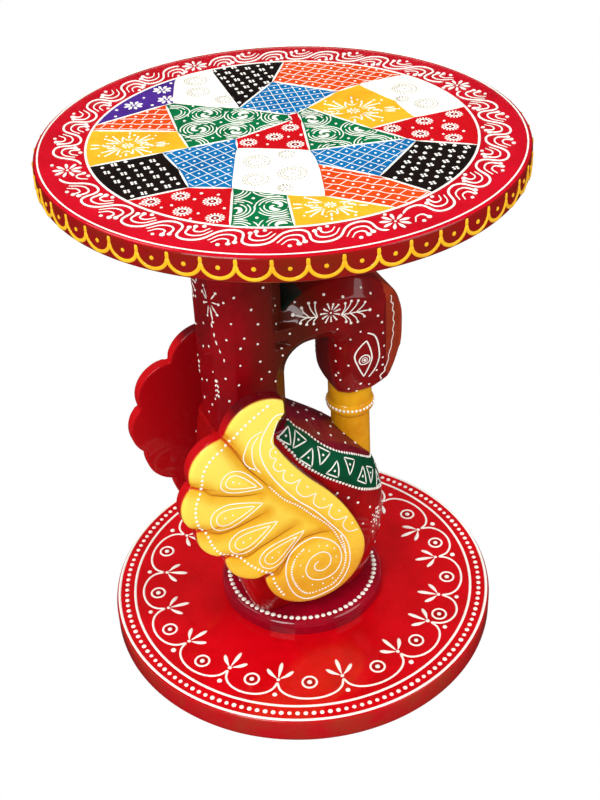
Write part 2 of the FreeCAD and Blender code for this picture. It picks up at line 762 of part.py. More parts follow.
# The underside of the head is worked round about the beak's axis
jaw_inner_share = 1.06
jaw_middle_shares = (0.74, 0.42)
jaw_outer_share = 1.05
jaw_inner = S("collar_diameter") * 0.5 * jaw_inner_share
jaw_middle = (S("head_reach") * jaw_middle_shares[0], S("jaw_rounding") * jaw_middle_shares[1])
jaw_outer = S("head_reach") * jaw_outer_share
jaw_clear = S("head_radius") + S("overrun")
jaw_round = new_body("jaw_round")
revolve(jaw_round, "jaw_round_turned", [
    ((jaw_inner, -S("overrun")), (jaw_inner, zero)),
    ((jaw_inner, zero), jaw_middle, (jaw_outer, S("jaw_rounding"))),
    ((jaw_outer, S("jaw_rounding")), (jaw_clear, S("jaw_rounding"))),
    ((jaw_clear, S("jaw_rounding")), (jaw_clear, -S("overrun"))),
    ((jaw_clear, -S("overrun")), (jaw_inner, -S("overrun"))),
])
put(jaw_round, beak_axis, zero, head_under)
head_rounded = cut("head_rounded", head_sawn, jaw_round)
head_holes = group("Part::MultiFuse", "head_holes", neck_dowel_holes + [beak_dowel_hole])
finish_subpart("neck_and_head", cut("head_bored", head_rounded, head_holes))

# Beak: turned with a beaded collar, its end fitted to the slope of the breast
beak_blank = new_body("beak_blank")
collar_rim = S("collar_diameter") * 0.5
collar_wall_share = 0.9
collar_wall = collar_rim * collar_wall_share
collar_drop = S("collar_height")
bead_top_share = 0.56
bead_foot_share = 0.92
bead_top = -collar_drop * bead_top_share
bead_foot = -collar_drop * bead_foot_share
beak_end_share = 0.5
beak_length = head_under - plinth_top - S("body_height") * beak_end_share
beak_throat_share = 0.485
beak_foot_share = 0.515
beak_throat = S("beak_diameter") * beak_throat_share
beak_foot = S("beak_diameter") * beak_foot_share
revolve(beak_blank, "beak_turned", [
    ((zero, zero), (zero, -beak_length)),
    ((zero, -beak_length), (beak_foot, -beak_length)),
    ((beak_foot, -beak_length), (beak_throat, -collar_drop)),
    ((beak_throat, -collar_drop), (collar_wall, bead_foot)),
    ((collar_wall, bead_foot), (collar_rim, (bead_top + bead_foot) * 0.5), (collar_wall, bead_top)),
    ((collar_wall, bead_top), (collar_wall, zero)),
    ((collar_wall, zero), (zero, zero)),
])
put(beak_blank, beak_axis, zero, head_under - S("seat_clearance"))
beak_fitted = cut("beak_fitted", beak_blank, body_blank)
put(beak_fitted, z=S("seat_clearance"))
finish_subpart("beak", cut("beak_bored", beak_fitted, beak_dowel_hole))

# Wings: a scalloped plank each, five valleys carved between its feathers.
# Shares run from the hindmost feather to the front and from the foot to the tip
wing_foot = plinth_top + S("wing_rise")
wing_front_share = 0.207
wing_back = S("body_depth") * wing_front_share - S("wing_length")


def on_wing(shares):
    return (wing_back + S("wing_length") * shares[0], wing_foot + S("wing_height") * shares[1])


wing_outline_shares = [
    ((0.574, 0.979), (0.405, 1.000), (0.256, 0.889)),
    ((0.256, 0.889), (0.110, 0.848), (0.066, 0.720)),
    ((0.066, 0.720), (0.000, 0.619), (0.070, 0.521)),
    ((0.070, 0.521), (0.105, 0.413), (0.207, 0.365)),
    ((0.207, 0.365), (0.258, 0.254), (0.420, 0.205)),
    ((0.420, 0.205), (0.485, 0.078), (0.684, 0.000)),
    ((0.684, 0.000), "smooth", (0.998, 0.262)),
    ((0.998, 0.262), "smooth", (0.747, 0.567)),
    ((0.747, 0.567), "smooth", (0.513, 0.806)),
    ((0.513, 0.806), (0.520, 0.872), (0.576, 0.935)),
    ((0.576, 0.935), (0.574, 0.979)),
]
valley_shares = [
    ((0.220, 0.935), (0.490, 0.620)),
    ((0.000, 0.745), (0.419, 0.615)),
    ((0.011, 0.520), (0.460, 0.520)),
    ((0.144, 0.345), (0.592, 0.425)),
    ((0.358, 0.170), (0.786, 0.375)),
]
valley_fade_share = 0.12
wing_blank = new_body("wing_blank")
outer_face = -(half_body + S("wing_thickness"))
wing_heart = on_wing((0.52, 0.48))
# The outer rim is worked round: depth below the face, and the outline's size
wing_rim_shares = [(1.00, 1.000), (0.35, 0.988), (0.00, 0.964)]


def wing_section(name, depth, size_share):
    def drawn(point):
        spot = on_wing(point)
        return tuple(heart + (edge - heart) * size_share for heart, edge in zip(wing_heart, spot))

    sketch = new_sketch(wing_blank, name, "XZ_Plane", -outer_face - depth)
    draw_outline(sketch, [
        tuple(point if point == "smooth" else drawn(point) for point in stretch)
        for stretch in wing_outline_shares
    ])
    return sketch


wing_sawn = wing_blank.newObject("PartDesign::Pad", "wing_sawn")
wing_sawn.Profile = wing_section("wing_outline", S("wing_thickness"), 1)
bind(wing_sawn, Length=S("wing_thickness") - S("wing_edge_round"))
doc.recompute()
rim_sections = [wing_section("wing_rim_" + str(number), S("wing_edge_round") * depth_share, size_share)
                for number, (depth_share, size_share) in enumerate(wing_rim_shares, start=1)]
wing_rim = wing_blank.newObject("PartDesign::AdditiveLoft", "wing_rim")
wing_rim.Profile = rim_sections[0]
wing_rim.Sections = rim_sections[1:]
wing_rim.Ruled = True
doc.recompute()

# Each valley is the run of a gouge: wide and deep at the notch, fading inwards
valleys = []
for number, stretch in enumerate(valley_shares, start=1):
    start, end = [on_wing(shares) for shares in stretch]
    way = FreeCAD.Vector(end[0].value - start[0].value, 0, end[1].value - start[1].value)
    gouge = doc.addObject("Part::Cone", "valley_" + str(number))
    bind(gouge, Radius1=S("feather_groove_depth"), Radius2=S("feather_groove_depth") * valley_fade_share)
    gouge.setExpression("Height", "sqrt((" + (end[0] - start[0]).text + ")^2 + ("
                        + (end[1] - start[1]).text + ")^2)")
    gouge.Placement = FreeCAD.Placement(
        FreeCAD.Vector(), FreeCAD.Rotation(FreeCAD.Vector(0, 0, 1), way))
    put(gouge, start[0], outer_face, start[1])
    valleys.append(gouge)
wing_carved = cut("wing_carved", wing_blank, group("Part::MultiFuse", "valleys", valleys))
finish_subpart("wing_right", cut("wing_right_bored", wing_carved, wing_holes))
mirrored = doc.addObject("Part::Mirroring", "wing_mirrored")
mirrored.Source = wing_carved
mirrored.Normal = sideways
put(mirrored, x=-S("left_wing_setback"), z=S("left_wing_raise"))
finish_subpart("wing_left", cut("wing_left_bored", mirrored, wing_holes))

# Check every object and every subpart, then write one file for each subpart
doc.recompute()
failed = [thing.Name for thing in doc.Objects if "Invalid" in thing.State or "Error" in thing.State]
if failed:
    raise RuntimeError("these objects failed: " + ", ".join(failed))
for name, thing in subparts.items():
    if thing.Shape.isNull() or not thing.Shape.isValid():
        raise RuntimeError(name + " has no valid shape")
    if not thing.Shape.Solids:
        raise RuntimeError(name + " holds no solid")

os.makedirs("parts", exist_ok=True)
for name, thing in subparts.items():
    thing.Shape.exportStep(os.path.join("parts", name + ".step"))
    box = thing.Shape.BoundBox
    print(name, len(thing.Shape.Solids), "solid(s), volume", round(thing.Shape.Volume / 1000, 1), "cm3, x",
          round(box.XMin, 1), round(box.XMax, 1), "y", round(box.YMin, 1), round(box.YMax, 1),
          "z", round(box.ZMin, 1), round(box.ZMax, 1))
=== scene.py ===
import math
import random

import bmesh
import bpy
from mathutils import Matrix, Vector
from mathutils.bvhtree import BVHTree
from mathutils.geometry import tessellate_polygon


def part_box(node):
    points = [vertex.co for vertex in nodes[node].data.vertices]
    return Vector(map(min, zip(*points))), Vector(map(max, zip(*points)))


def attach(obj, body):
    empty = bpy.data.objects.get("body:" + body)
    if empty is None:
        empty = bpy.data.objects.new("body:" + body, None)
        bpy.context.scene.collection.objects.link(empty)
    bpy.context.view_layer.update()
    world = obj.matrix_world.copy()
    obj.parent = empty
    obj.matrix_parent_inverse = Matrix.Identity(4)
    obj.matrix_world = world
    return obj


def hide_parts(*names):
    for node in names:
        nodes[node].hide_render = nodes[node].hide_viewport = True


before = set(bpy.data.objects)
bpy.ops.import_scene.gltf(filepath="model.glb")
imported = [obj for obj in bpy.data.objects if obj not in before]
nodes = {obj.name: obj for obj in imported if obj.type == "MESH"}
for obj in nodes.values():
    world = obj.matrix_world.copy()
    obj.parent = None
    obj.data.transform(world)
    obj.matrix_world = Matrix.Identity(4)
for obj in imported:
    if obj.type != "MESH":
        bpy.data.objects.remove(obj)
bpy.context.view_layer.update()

# The bird faces +X and its left side is +Y. Lengths are in millimetres until
# a mesh is made.
scene = bpy.context.scene
mm = 0.001
hand = random.Random(7)


def low(node):
    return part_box(node)[0] / mm


def high(node):
    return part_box(node)[1] / mm


def clamp(value):
    return min(1, max(0, value))


topLevel = high("top_board_centre").z
topUnder = low("top_board_centre").z
topRadius = max(high("top_board_centre").x, high("top_board_left").y)
baseLevel = high("base_board_centre").z
baseRadius = max(high("base_board_centre").x, high("base_board_left").y)
plinthLevel = high("plinth").z


# Materials

enamelLook = {"cloud": {"Scale": 38, "Detail": 5, "Roughness": 0.62}, "thinning": (0.38, 0.72),
              "streak": {"Scale": 210, "Detail": 3}, "stretch": (1, 0.22, 0.6), "roughness": (0.2, 0.42),
              "relief": {"Strength": 0.05, "Distance": 0.0006}, "specular": 0.08, "coatRoughness": 0.05}


def linear(red, green, blue):
    def lift(value):
        value = value / 255
        return value / 12.92 if value <= 0.04045 else ((value + 0.055) / 1.055) ** 2.4
    return (lift(red), lift(green), lift(blue), 1)


def addNode(tree, kind, values=None, feeds=None):
    # A shader node, the values of its sockets and the outputs that feed them.
    node = tree.nodes.new("ShaderNode" + kind)
    if kind == "Mix":
        node.data_type = "RGBA"
    for socket, value in (values or {}).items():
        node.inputs[socket].default_value = value
    for socket, output in (feeds or {}).items():
        tree.links.new(output, node.inputs[socket])
    return node


def makeEnamelGroup():
    # Clouds between a full and a thin coat of paint, under fine brush streaks.
    group = bpy.data.node_groups.new("brushed enamel", "ShaderNodeTree")
    sockets = (("Paint", "INPUT", "Color"), ("Thin", "INPUT", "Color"), ("Colour", "OUTPUT", "Color"),
               ("Roughness", "OUTPUT", "Float"), ("Height", "OUTPUT", "Float"))
    for name, way, kind in sockets:
        group.interface.new_socket(name, in_out=way, socket_type="NodeSocket" + kind)
    source = group.nodes.new("NodeGroupInput").outputs
    sink = group.nodes.new("NodeGroupOutput").inputs
    place = addNode(group, "TexCoord").outputs["Object"]
    cloud = addNode(group, "TexNoise", enamelLook["cloud"], {"Vector": place})
    stretch = addNode(group, "Mapping", {"Scale": enamelLook["stretch"]}, {"Vector": place})
    brush = addNode(group, "TexNoise", enamelLook["streak"], {"Vector": stretch.outputs["Vector"]})
    streak = brush.outputs["Fac"]
    start, end = enamelLook["thinning"]
    blotch = addNode(group, "MapRange", {"From Min": start, "From Max": end}, {"Value": cloud.outputs["Fac"]})
    mix = addNode(group, "Mix", None, {"Factor": blotch.outputs["Result"], "A": source["Paint"],
                                       "B": source["Thin"]})
    start, end = enamelLook["roughness"]
    gloss = addNode(group, "MapRange", {"To Min": start, "To Max": end}, {"Value": streak})
    group.links.new(mix.outputs["Result"], sink["Colour"])
    group.links.new(gloss.outputs["Result"], sink["Roughness"])
    group.links.new(streak, sink["Height"])
    return group


enamelGroup = makeEnamelGroup()


def newMaterial(name):
    material = bpy.data.materials.new(name)
    material.use_nodes = True
    return material, material.node_tree, material.node_tree.nodes["Principled BSDF"].inputs


def enamel(name, paint, thin, coat=0.5, over=()):
    # Brushed gloss enamel. Each paint in over covers it where its attribute says.
    material, tree, shader = newMaterial(name)
    brushed = tree.nodes.new("ShaderNodeGroup")
    brushed.node_tree = enamelGroup
    brushed.inputs["Paint"].default_value = linear(*paint)
    brushed.inputs["Thin"].default_value = linear(*thin)
    colour = brushed.outputs["Colour"]
    for attribute, second in over:
        amount = addNode(tree, "Attribute")
        amount.attribute_name = attribute
        mix = addNode(tree, "Mix", {"B": linear(*second)}, {"Factor": amount.outputs["Fac"], "A": colour})
        colour = mix.outputs["Result"]
    relief = addNode(tree, "Bump", enamelLook["relief"], {"Height": brushed.outputs["Height"]})
    tree.links.new(colour, shader["Base Color"])
    tree.links.new(brushed.outputs["Roughness"], shader["Roughness"])
    tree.links.new(relief.outputs["Normal"], shader["Normal"])
    shader["Specular IOR Level"].default_value = enamelLook["specular"]
    shader["Coat Weight"].default_value = coat
    shader["Coat Roughness"].default_value = enamelLook["coatRoughness"]
    return material


paints = {
    "crimson": enamel("crimson enamel", (206, 3, 32), (184, 2, 24)),
    "baseRed": enamel("base red enamel", (208, 2, 16), (184, 2, 10)),
    "baseEdge": enamel("base edge enamel", (184, 14, 22), (160, 48, 30)),
    # The body's maroon is partly paint and partly painted shade under the head.
    "maroon": enamel("maroon enamel and shade", (130, 18, 40), (98, 8, 24)),
    "plinthRed": enamel("plinth red enamel", (164, 5, 32), (122, 5, 26), coat=0.8),
    "bodyRed": enamel("body red enamel", (176, 8, 12), (138, 8, 12)),
    "noseBrown": enamel("nose brown enamel", (172, 58, 26), (140, 34, 18)),
    # The notch's dark green is partly paint and partly painted shade under the top.
    "notchGreenShade": enamel("dark green notch paint and shade", (34, 62, 54), (22, 40, 36)),
    "postRed": enamel("dark red enamel", (148, 5, 16), (120, 6, 12), over=[("brown", (84, 26, 14))]),
    "rimRed": enamel("rim red enamel", (146, 8, 14), (122, 30, 8)),
    "beakYellow": enamel("beak yellow enamel", (232, 166, 22), (208, 126, 10)),
    "yellow": enamel("golden enamel", (244, 190, 40), (232, 164, 24)),
    # Over the golden wing paint: a painted highlight on the upper lobes, painted orange shade in the valleys
    # and on the lower wing, and red edge paint. Deep red is painted shadow on the face toward the bird, and
    # partly maroon paint, partly painted shade on the top edges near the post.
    "wingYellow": enamel("golden wing enamel", (250, 206, 58), (238, 176, 30), over=[
        ("painted_highlight", (250, 228, 96)), ("painted_shade", (206, 118, 10)), ("red", (196, 6, 16)), ("deep", (104, 8, 16))]),
    "bandGreen": enamel("deep green enamel", (8, 84, 52), (4, 62, 38)),
    "green": enamel("green enamel", (0, 118, 66), (0, 92, 50)),
    "blue": enamel("azure enamel", (0, 114, 176), (0, 96, 158), coat=0.2),
    "orange": enamel("vermilion enamel", (232, 78, 8), (214, 58, 4)),
    "red": enamel("patch red enamel", (208, 4, 20), (190, 3, 15)),
    "purple": enamel("violet enamel", (80, 44, 146), (62, 30, 122)),
    "black": enamel("warm black enamel", (30, 20, 18), (18, 12, 12)),
    # Ochre is painted shade, laid as thin lines in the creases of the wing valleys.
    "ochre": enamel("ochre painted crease shade", (150, 84, 10), (120, 62, 8), coat=0.2),
    "cream": enamel("cream enamel", (252, 250, 240), (246, 242, 226)),
    "white": enamel("white outline paste", (252, 250, 242), (244, 240, 228), coat=0.25),
    "gold": enamel("golden outline paste", (246, 190, 38), (236, 168, 26), coat=0.3),
    "grey": enamel("faint grey outline", (168, 160, 146), (146, 138, 124), coat=0.1),
    "dark": enamel("dark ring paint", (96, 8, 12), (70, 6, 8)),
}


def bareWood():
    material, tree, shader = newMaterial("bare hardwood")
    place = addNode(tree, "TexCoord").outputs["Object"]
    rings = addNode(tree, "TexWave", {"Scale": 90, "Distortion": 4}, {"Vector": place})
    ramp = addNode(tree, "ValToRGB", None, {"Fac": rings.outputs["Fac"]})
    for stop, colour in zip(ramp.color_ramp.elements, ((176, 128, 82), (206, 160, 110))):
        stop.color = linear(*colour)
    tree.links.new(ramp.outputs["Color"], shader["Base Color"])
    shader["Roughness"].default_value = 0.6
    return material


def plainSteel():
    material, tree, shader = newMaterial("zinc plated steel")
    place = addNode(tree, "TexCoord").outputs["Object"]
    grain = addNode(tree, "TexNoise", {"Scale": 900}, {"Vector": place})
    level = addNode(tree, "MapRange", {"To Min": 0.25, "To Max": 0.5}, {"Value": grain.outputs["Fac"]})
    tree.links.new(level.outputs["Result"], shader["Roughness"])
    shader["Base Color"].default_value = linear(190, 192, 190)
    shader["Metallic"].default_value = 1
    return material


wood = bareWood()
steel = plainSteel()


# Making pieces

def addPiece(name, mesh, materials, smooth=True):
    piece = bpy.data.objects.new(name, mesh)
    scene.collection.objects.link(piece)
    for material in materials:
        mesh.materials.append(material)
    for face in mesh.polygons:
        face.use_smooth = smooth
    return piece


def layPiece(name, points, faces, material, smooth=True):
    # A piece of paint, from points in millimetres.
    mesh = bpy.data.meshes.new(name)
    mesh.from_pydata([point * mm for point in points], [], faces)
    mesh.update()
    piece = addPiece(name, mesh, [material], smooth)
    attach(piece, "root")


def shownMesh(thing):
    return bpy.data.meshes.new_from_object(thing.evaluated_get(bpy.context.evaluated_depsgraph_get()))


def treeOf(piece):
    # The finished shape of a piece, in millimetres, for paint to lie on.
    mesh = piece.evaluated_get(bpy.context.evaluated_depsgraph_get()).to_mesh()
    return BVHTree.FromPolygons([vertex.co / mm for vertex in mesh.vertices],
                                [tuple(face.vertices) for face in mesh.polygons])


def softened(name, sources, sizes, materials, shape=None):
    # One painted, hand-sanded skin over the named solids. Worn places are
    # rounded over further: each is a centre, a reach and a number of rounds.
    joined = bmesh.new()
    for source in sources:
        joined.from_mesh(nodes[source].data)
    bmesh.ops.remove_doubles(joined, verts=joined.verts, dist=0.00001)
    if "filler" in sizes:
        first, last = sizes["filler"]
        for vertex in bmesh.ops.create_cube(joined, size=1)["verts"]:
            vertex.co = Vector([first[axis] + (vertex.co[axis] + 0.5) * (last[axis] - first[axis])
                                for axis in range(3)]) * mm
    mesh = bpy.data.meshes.new(name)
    joined.to_mesh(mesh)
    joined.free()
    rough = bpy.data.objects.new(name + " rough", mesh)
    scene.collection.objects.link(rough)
    skin = rough.modifiers.new("skin", "REMESH")
    skin.mode = "VOXEL"
    skin.voxel_size = sizes["voxel"] * mm
    finished = shownMesh(rough)
    bpy.data.objects.remove(rough)
    finished.materials.clear()
    if shape:
        shape(finished)
    piece = addPiece(name, finished, materials)
    for number, (centre, reach, rounds) in enumerate(sizes.get("worn", [])):
        area = piece.vertex_groups.new(name="worn %d" % number)
        for vertex in finished.vertices:
            away = (vertex.co / mm - Vector(centre)).length / reach
            if away < 1:
                area.add([vertex.index], (1 - away ** 2) ** 2, "REPLACE")
        rub = piece.modifiers.new("worn %d" % number, "SMOOTH")
        rub.factor = 0.9
        rub.iterations = rounds
        rub.vertex_group = area.name
    sanding = piece.modifiers.new("sanding", "SMOOTH")
    sanding.factor = 0.5
    sanding.iterations = sizes["sanding"]
    sanded = shownMesh(piece)
    piece.modifiers.clear()
    piece.vertex_groups.clear()
    piece.data = sanded
    sanded.name = name
    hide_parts(*sources)
    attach(piece, "root")
    return piece


def discProfile(radius, top, under, rounding, inner):
    # From the centre of the upper face over the rounded rim to the centre below.
    quarter = (22, 45, 68, 90)
    reach = radius - rounding

    def across(turn):
        return rounding * math.sin(math.radians(turn))

    def down(turn):
        return rounding * math.cos(math.radians(turn))

    return ([(0, top)] + [(part, top) for part in inner + (reach,)]
            + [(reach + across(turn), top - rounding + down(turn)) for turn in quarter]
            + [(reach + down(turn), under + rounding - across(turn)) for turn in (0,) + quarter]
            + [(100, under), (0, under)])


def turned(name, profile, materials, sources, flatness):
    # A disc turned about the table's axis. Faces less level than flatness take
    # the second material.
    steps = 180
    points = []
    faces = []
    for turn in range(steps):
        angle = 2 * math.pi * turn / steps
        for radius, level in profile:
            points.append(Vector((radius * math.cos(angle), radius * math.sin(angle), level)) * mm)
    count = len(profile)
    for turn in range(steps):
        after = (turn + 1) % steps
        for place in range(count - 1):
            faces.append((turn * count + place, after * count + place,
                          after * count + place + 1, turn * count + place + 1))
    mesh = bpy.data.meshes.new(name)
    mesh.from_pydata(points, [], faces)
    work = bmesh.new()
    work.from_mesh(mesh)
    bmesh.ops.remove_doubles(work, verts=work.verts, dist=0.000001)
    bmesh.ops.recalc_face_normals(work, faces=work.faces)
    work.to_mesh(mesh)
    work.free()
    piece = addPiece(name, mesh, materials)
    for face in mesh.polygons:
        face.material_index = 0 if face.normal.z > flatness else 1
    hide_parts(*sources)
    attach(piece, "root")


class Paste:
    # Raised paste laid by hand from a cone: dots and lines of one paint.
    def __init__(self, surface):
        self.surface = surface
        self.points = []
        self.faces = []

    def dot(self, spot, radius):
        place, normal = self.surface(spot)
        if place is None:
            return
        along = normal.orthogonal().normalized()
        across = normal.cross(along)
        height = 0.45
        first = len(self.points)
        sides = 8 if radius < 1.2 else 12
        radius = radius * hand.uniform(0.9, 1.1)
        for share, lift in ((1, -0.15), (0.92, 0.35), (0.55, 0.85)):
            for side in range(sides):
                angle = 2 * math.pi * side / sides
                way = along * math.cos(angle) + across * math.sin(angle)
                self.points.append(place + way * radius * share + normal * lift * height * radius)
        self.points.append(place + normal * height * radius)
        for base in (first, first + sides):
            for side in range(sides):
                after = (side + 1) % sides
                self.faces.append((base + side, base + after, base + sides + after, base + sides + side))
        base = first + 2 * sides
        for side in range(sides):
            self.faces.append((base + side, base + (side + 1) % sides, first + 3 * sides))

    def dots(self, spots, radius):
        for spot in spots:
            self.dot(spot, radius)

    def line(self, spots, width, height=0.32, closed=False, ends=0.25, swell=False, thin=1):
        # A soft half-round line through spots that are already close together.
        # A swelling line starts thin and is fullest past its middle, like a drop.
        places = []
        for spot in spots:
            place, normal = self.surface(spot)
            if place is not None and not (places and (place - places[-1][0]).length < 0.05):
                places.append((place, normal))
        count = len(places)
        if count < 2:
            return
        first = len(self.points)
        step = 5
        for index, (place, normal) in enumerate(places):
            before = places[index - 1][0] if index or closed else place
            after = places[(index + 1) % count][0] if index < count - 1 or closed else place
            way = after - before
            if way.length < 1e-6:
                way = normal.orthogonal()
            side = normal.cross(way.normalized()).normalized()
            share = 1
            if not closed and index in (0, count - 1):
                share = ends
            if swell:
                share = 0.16 + 0.84 * math.sin(math.pi * (index / (count - 1)) ** 1.5) ** 0.8
            share *= 1 + (thin - 1) * index / count
            half = width / 2 * share
            for part in range(step):
                angle = math.pi * part / (step - 1)
                self.points.append(place + side * half * math.cos(angle)
                                   + normal * (width * height * share * math.sin(angle) - 0.06))
        for index in range(count if closed else count - 1):
            here = first + index * step
            there = first + ((index + 1) % count) * step
            for place in range(step - 1):
                self.faces.append((here + place, there + place, there + place + 1, here + place + 1))
        if not closed:
            self.faces.append(tuple(first + place for place in range(step)))
            self.faces.append(tuple(first + (count - 1) * step + place for place in reversed(range(step))))

    def curve(self, spots, width, step=1.2, **rest):
        self.line(curveThrough(spots, step), width, **rest)

    def ring(self, centre, radius, count, width):
        self.line(ringSpots(centre, radius, count), width, closed=True)

    def finish(self, name, paint, slot):
        layPiece(name, self.points, self.faces, paints[paint])


def straight(first, last, parts):
    return [first.lerp(last, part / parts) for part in range(parts + 1)]


def curveThrough(spots, step=1.2):
    spots = [Vector(spot) for spot in spots]
    found = []
    for index in range(len(spots) - 1):
        a = spots[max(0, index - 1)]
        b, c = spots[index:index + 2]
        d = spots[min(index + 2, len(spots) - 1)]
        pieces = max(2, int((c - b).length / step))
        for part in range(pieces):
            t = part / pieces
            found.append(0.5 * (2 * b + (c - a) * t + (2 * a - 5 * b + 4 * c - d) * t * t
                                + (3 * b - a - 3 * c + d) * t ** 3))
    return found + [spots[-1]]


def evenly(spots, count):
    # The same curve as a number of even steps.
    line = curveThrough(spots, 0.8)
    runs = [0]
    for first, last in zip(line, line[1:]):
        runs.append(runs[-1] + (last - first).length)
    found = []
    index = 0
    for step in range(count):
        want = runs[-1] * step / (count - 1)
        while index < len(runs) - 2 and runs[index + 1] < want:
            index += 1
        span = runs[index + 1] - runs[index] or 1
        found.append(line[index].lerp(line[index + 1], (want - runs[index]) / span))
    return found


def polar(radius, degrees, centre=(0, 0)):
    angle = math.radians(degrees)
    return Vector((centre[0] + radius * math.cos(angle), centre[1] + radius * math.sin(angle)))


def ringSpots(centre, radius, count):
    return [polar(radius, 360 * index / count, centre) for index in range(count)]


# Surfaces that paint lies on: each turns a spot into a place and its normal.
# On the flat a spot is (x, y), and on a rim it is (degrees, level).

def flat(level):
    return lambda spot: (Vector((spot[0], spot[1], level)), Vector((0, 0, 1)))


def rim(radius):
    def found(spot):
        out = Vector((math.cos(math.radians(spot[0])), math.sin(math.radians(spot[0])), 0))
        return out * radius + Vector((0, 0, spot[1])), out
    return found


def aside(tree, side):
    # Paint seen square on from one side: spots are (x, z).
    return lambda spot: tree.ray_cast(Vector((spot[0], side * 300, spot[1])), Vector((0, -side, 0)))[:2]


def nearest(tree):
    return lambda spot: tree.find_nearest(Vector(spot))[:2]


def moved(surface, move):
    return lambda spot: surface(spot + move)


def above(surface, lift):
    def found(spot):
        place, normal = surface(spot)
        return place + normal * lift, normal
    return found


# Ornaments, each drawn on a flat sheet of (x, y)

def flower(paste, centre, size, petals=8, width=2.2, eye=0.9):
    for index in range(petals):
        way = 360 * index / petals
        paste.line([polar(size * share, way, centre) for share in (0.25, 0.42, 0.6, 0.8, 1)], width,
                   swell=True)
        paste.dot(polar(size * 0.86, way, centre), width * 0.42)
    paste.dot(centre, eye)


def eyeRing(paste, centre, size, width, eye):
    paste.ring(centre, size, 22, width)
    paste.dot(centre, eye)


def spray(paste, outline, centre, size, turn):
    # A small flower, fans of drops toward four corners and finials on four axes.
    def at(share, way):
        return polar(size * share, turn + way, centre)

    def stroke(spots, width, tip=0):
        if min(edgeDistance(spot, outline) for spot in spots) > 0.9:
            paste.line(spots, width, swell=True)
            if tip:
                paste.dot(spots[-1], tip)

    flower(paste, centre, size * 0.17, width=1.2, eye=0.7)
    for corner in (42, 138, 222, 318):
        for lean, reach in ((-30, 0.52), (-12, 0.74), (6, 0.8), (24, 0.58)):
            stroke([at(0.24 + (reach - 0.24) * part / 6, corner + lean * (0.45 + 0.55 * part / 6))
                    for part in range(7)], 1.3, 0.85)
        for reach, lean in ((0.9, -4), (0.66, 36)):
            if edgeDistance(at(reach, corner + lean), outline) > 1.4:
                paste.dot(at(reach, corner + lean), 0.85)
    for axis in (0, 90, 180, 270):
        stroke([at(share, axis + lean) for share, lean in ((0.5, -17), (0.4, -12), (0.34, 0), (0.4, 12),
                                                           (0.5, 17))], 0.9, 0.7)
        stroke([at(share, axis) for share in (0.42, 0.5, 0.58, 0.66)], 1.7)
        if axis in (0, 180):
            for lean, reach in ((-7, 0.96), (0, 1.08), (7, 0.96)):
                stroke([at(0.72 + (reach - 0.72) * part / 4, axis + lean) for part in range(5)], 1.4, 0.7)
        else:
            stroke([at(share, axis) for share in (0.68, 0.74, 0.8, 0.88)], 1.4)


def whorl(paste, outline, centre, size, turn, spinWay):
    # Two full commas round each other inside nested rings.
    for side in (0, 180):
        comma = [polar(size * (0.08 + 0.34 * (part / 8) ** 0.7),
                       turn + side + spinWay * 170 * (part / 8), centre) for part in range(9)]
        if min(edgeDistance(spot, outline) for spot in comma) > 0.8:
            paste.line(comma, size * 0.25, swell=True)
        arcs = [[polar(size * (0.58 + 0.2 * ring + 0.05 * (part / 22)),
                       turn + side + spinWay * (30 + 24 * ring + 164 * (part / 22)), centre)
                 for part in range(23)] for ring in range(3)]
        clippedLines(paste, outline, arcs, 0.85, 0.9)


def rosette(paste, dark, centre, size):
    for index in range(15):
        paste.line([polar(size * share, 360 * index / 15, centre) for share in (0.58, 0.72, 0.86, 1)], 1.3,
                   swell=True)
    paste.ring(centre, size * 0.5, 20, 1.1)
    dark.ring(centre, size * 0.33, 14, 0.8)
    paste.dot(centre, size * 0.13)


def edgeDistance(spot, outline):
    # Positive inside the outline.
    inside = False
    best = 1e9
    x, y = spot[0], spot[1]
    for index, first in enumerate(outline):
        second = outline[(index + 1) % len(outline)]
        dx, dy = second[0] - first[0], second[1] - first[1]
        if (first[1] > y) != (second[1] > y) and x < dx * (y - first[1]) / dy + first[0]:
            inside = not inside
        t = clamp(((x - first[0]) * dx + (y - first[1]) * dy) / (dx * dx + dy * dy or 1))
        best = min(best, math.hypot(x - first[0] - t * dx, y - first[1] - t * dy))
    return best if inside else -best


def middleOf(outline):
    return sum(outline, Vector((0, 0))) / len(outline)


def gridSpots(outline, pitch, turn, margin, offset=(0, 0), aspect=1):
    # (column, row, spot) of a turned grid, inside the outline.
    spin = Matrix.Rotation(math.radians(turn), 2)
    middle = middleOf(outline)
    reach = int(160 / pitch)
    found = []
    for column in range(-reach, reach + 1):
        for row in range(-reach, reach + 1):
            spot = middle + spin @ Vector(((column + offset[0]) * pitch, (row + offset[1]) * pitch * aspect))
            if edgeDistance(spot, outline) > margin:
                found.append((column, row, spot))
    return found


def clippedLines(paste, outline, lines, width, margin):
    for line in lines:
        run = []
        for spot in line + [None]:
            if spot is not None and edgeDistance(spot, outline) > margin:
                run.append(spot)
            else:
                if len(run) > 1:
                    paste.line(run, width, ends=0.7)
                run = []


# The round top: a painted disc with a patchwork sheet and a vine border

topSizes = {"rimRound": 2.5, "inner": (40, 80, 120), "ring": 120.3, "outerLine": 149.4, "sheet": 0.25,
            "clusterPitch": 7.3, "latticePitch": 7.8, "tile": (12, 7.6), "whorl": 11.6, "whorlPitch": 23.5,
            "scallops": 50, "scallopDrop": 8.6, "scallopWidth": 2.3, "belowEdge": 1.4}
vine = {"waves": 23, "radius": 132, "middle": 11.6, "swing": 7.8, "lean": 0.06, "loop": 0.05, "width": 1.5,
        "innerFocus": 3, "outerFocus": 20.6, "flowerGap": 9.6}


def sheetSpot(u, v):
    # The top's sheet is drawn 5 px to the millimetre.
    return Vector((u / 5 - 158, 153.6 - v / 5))
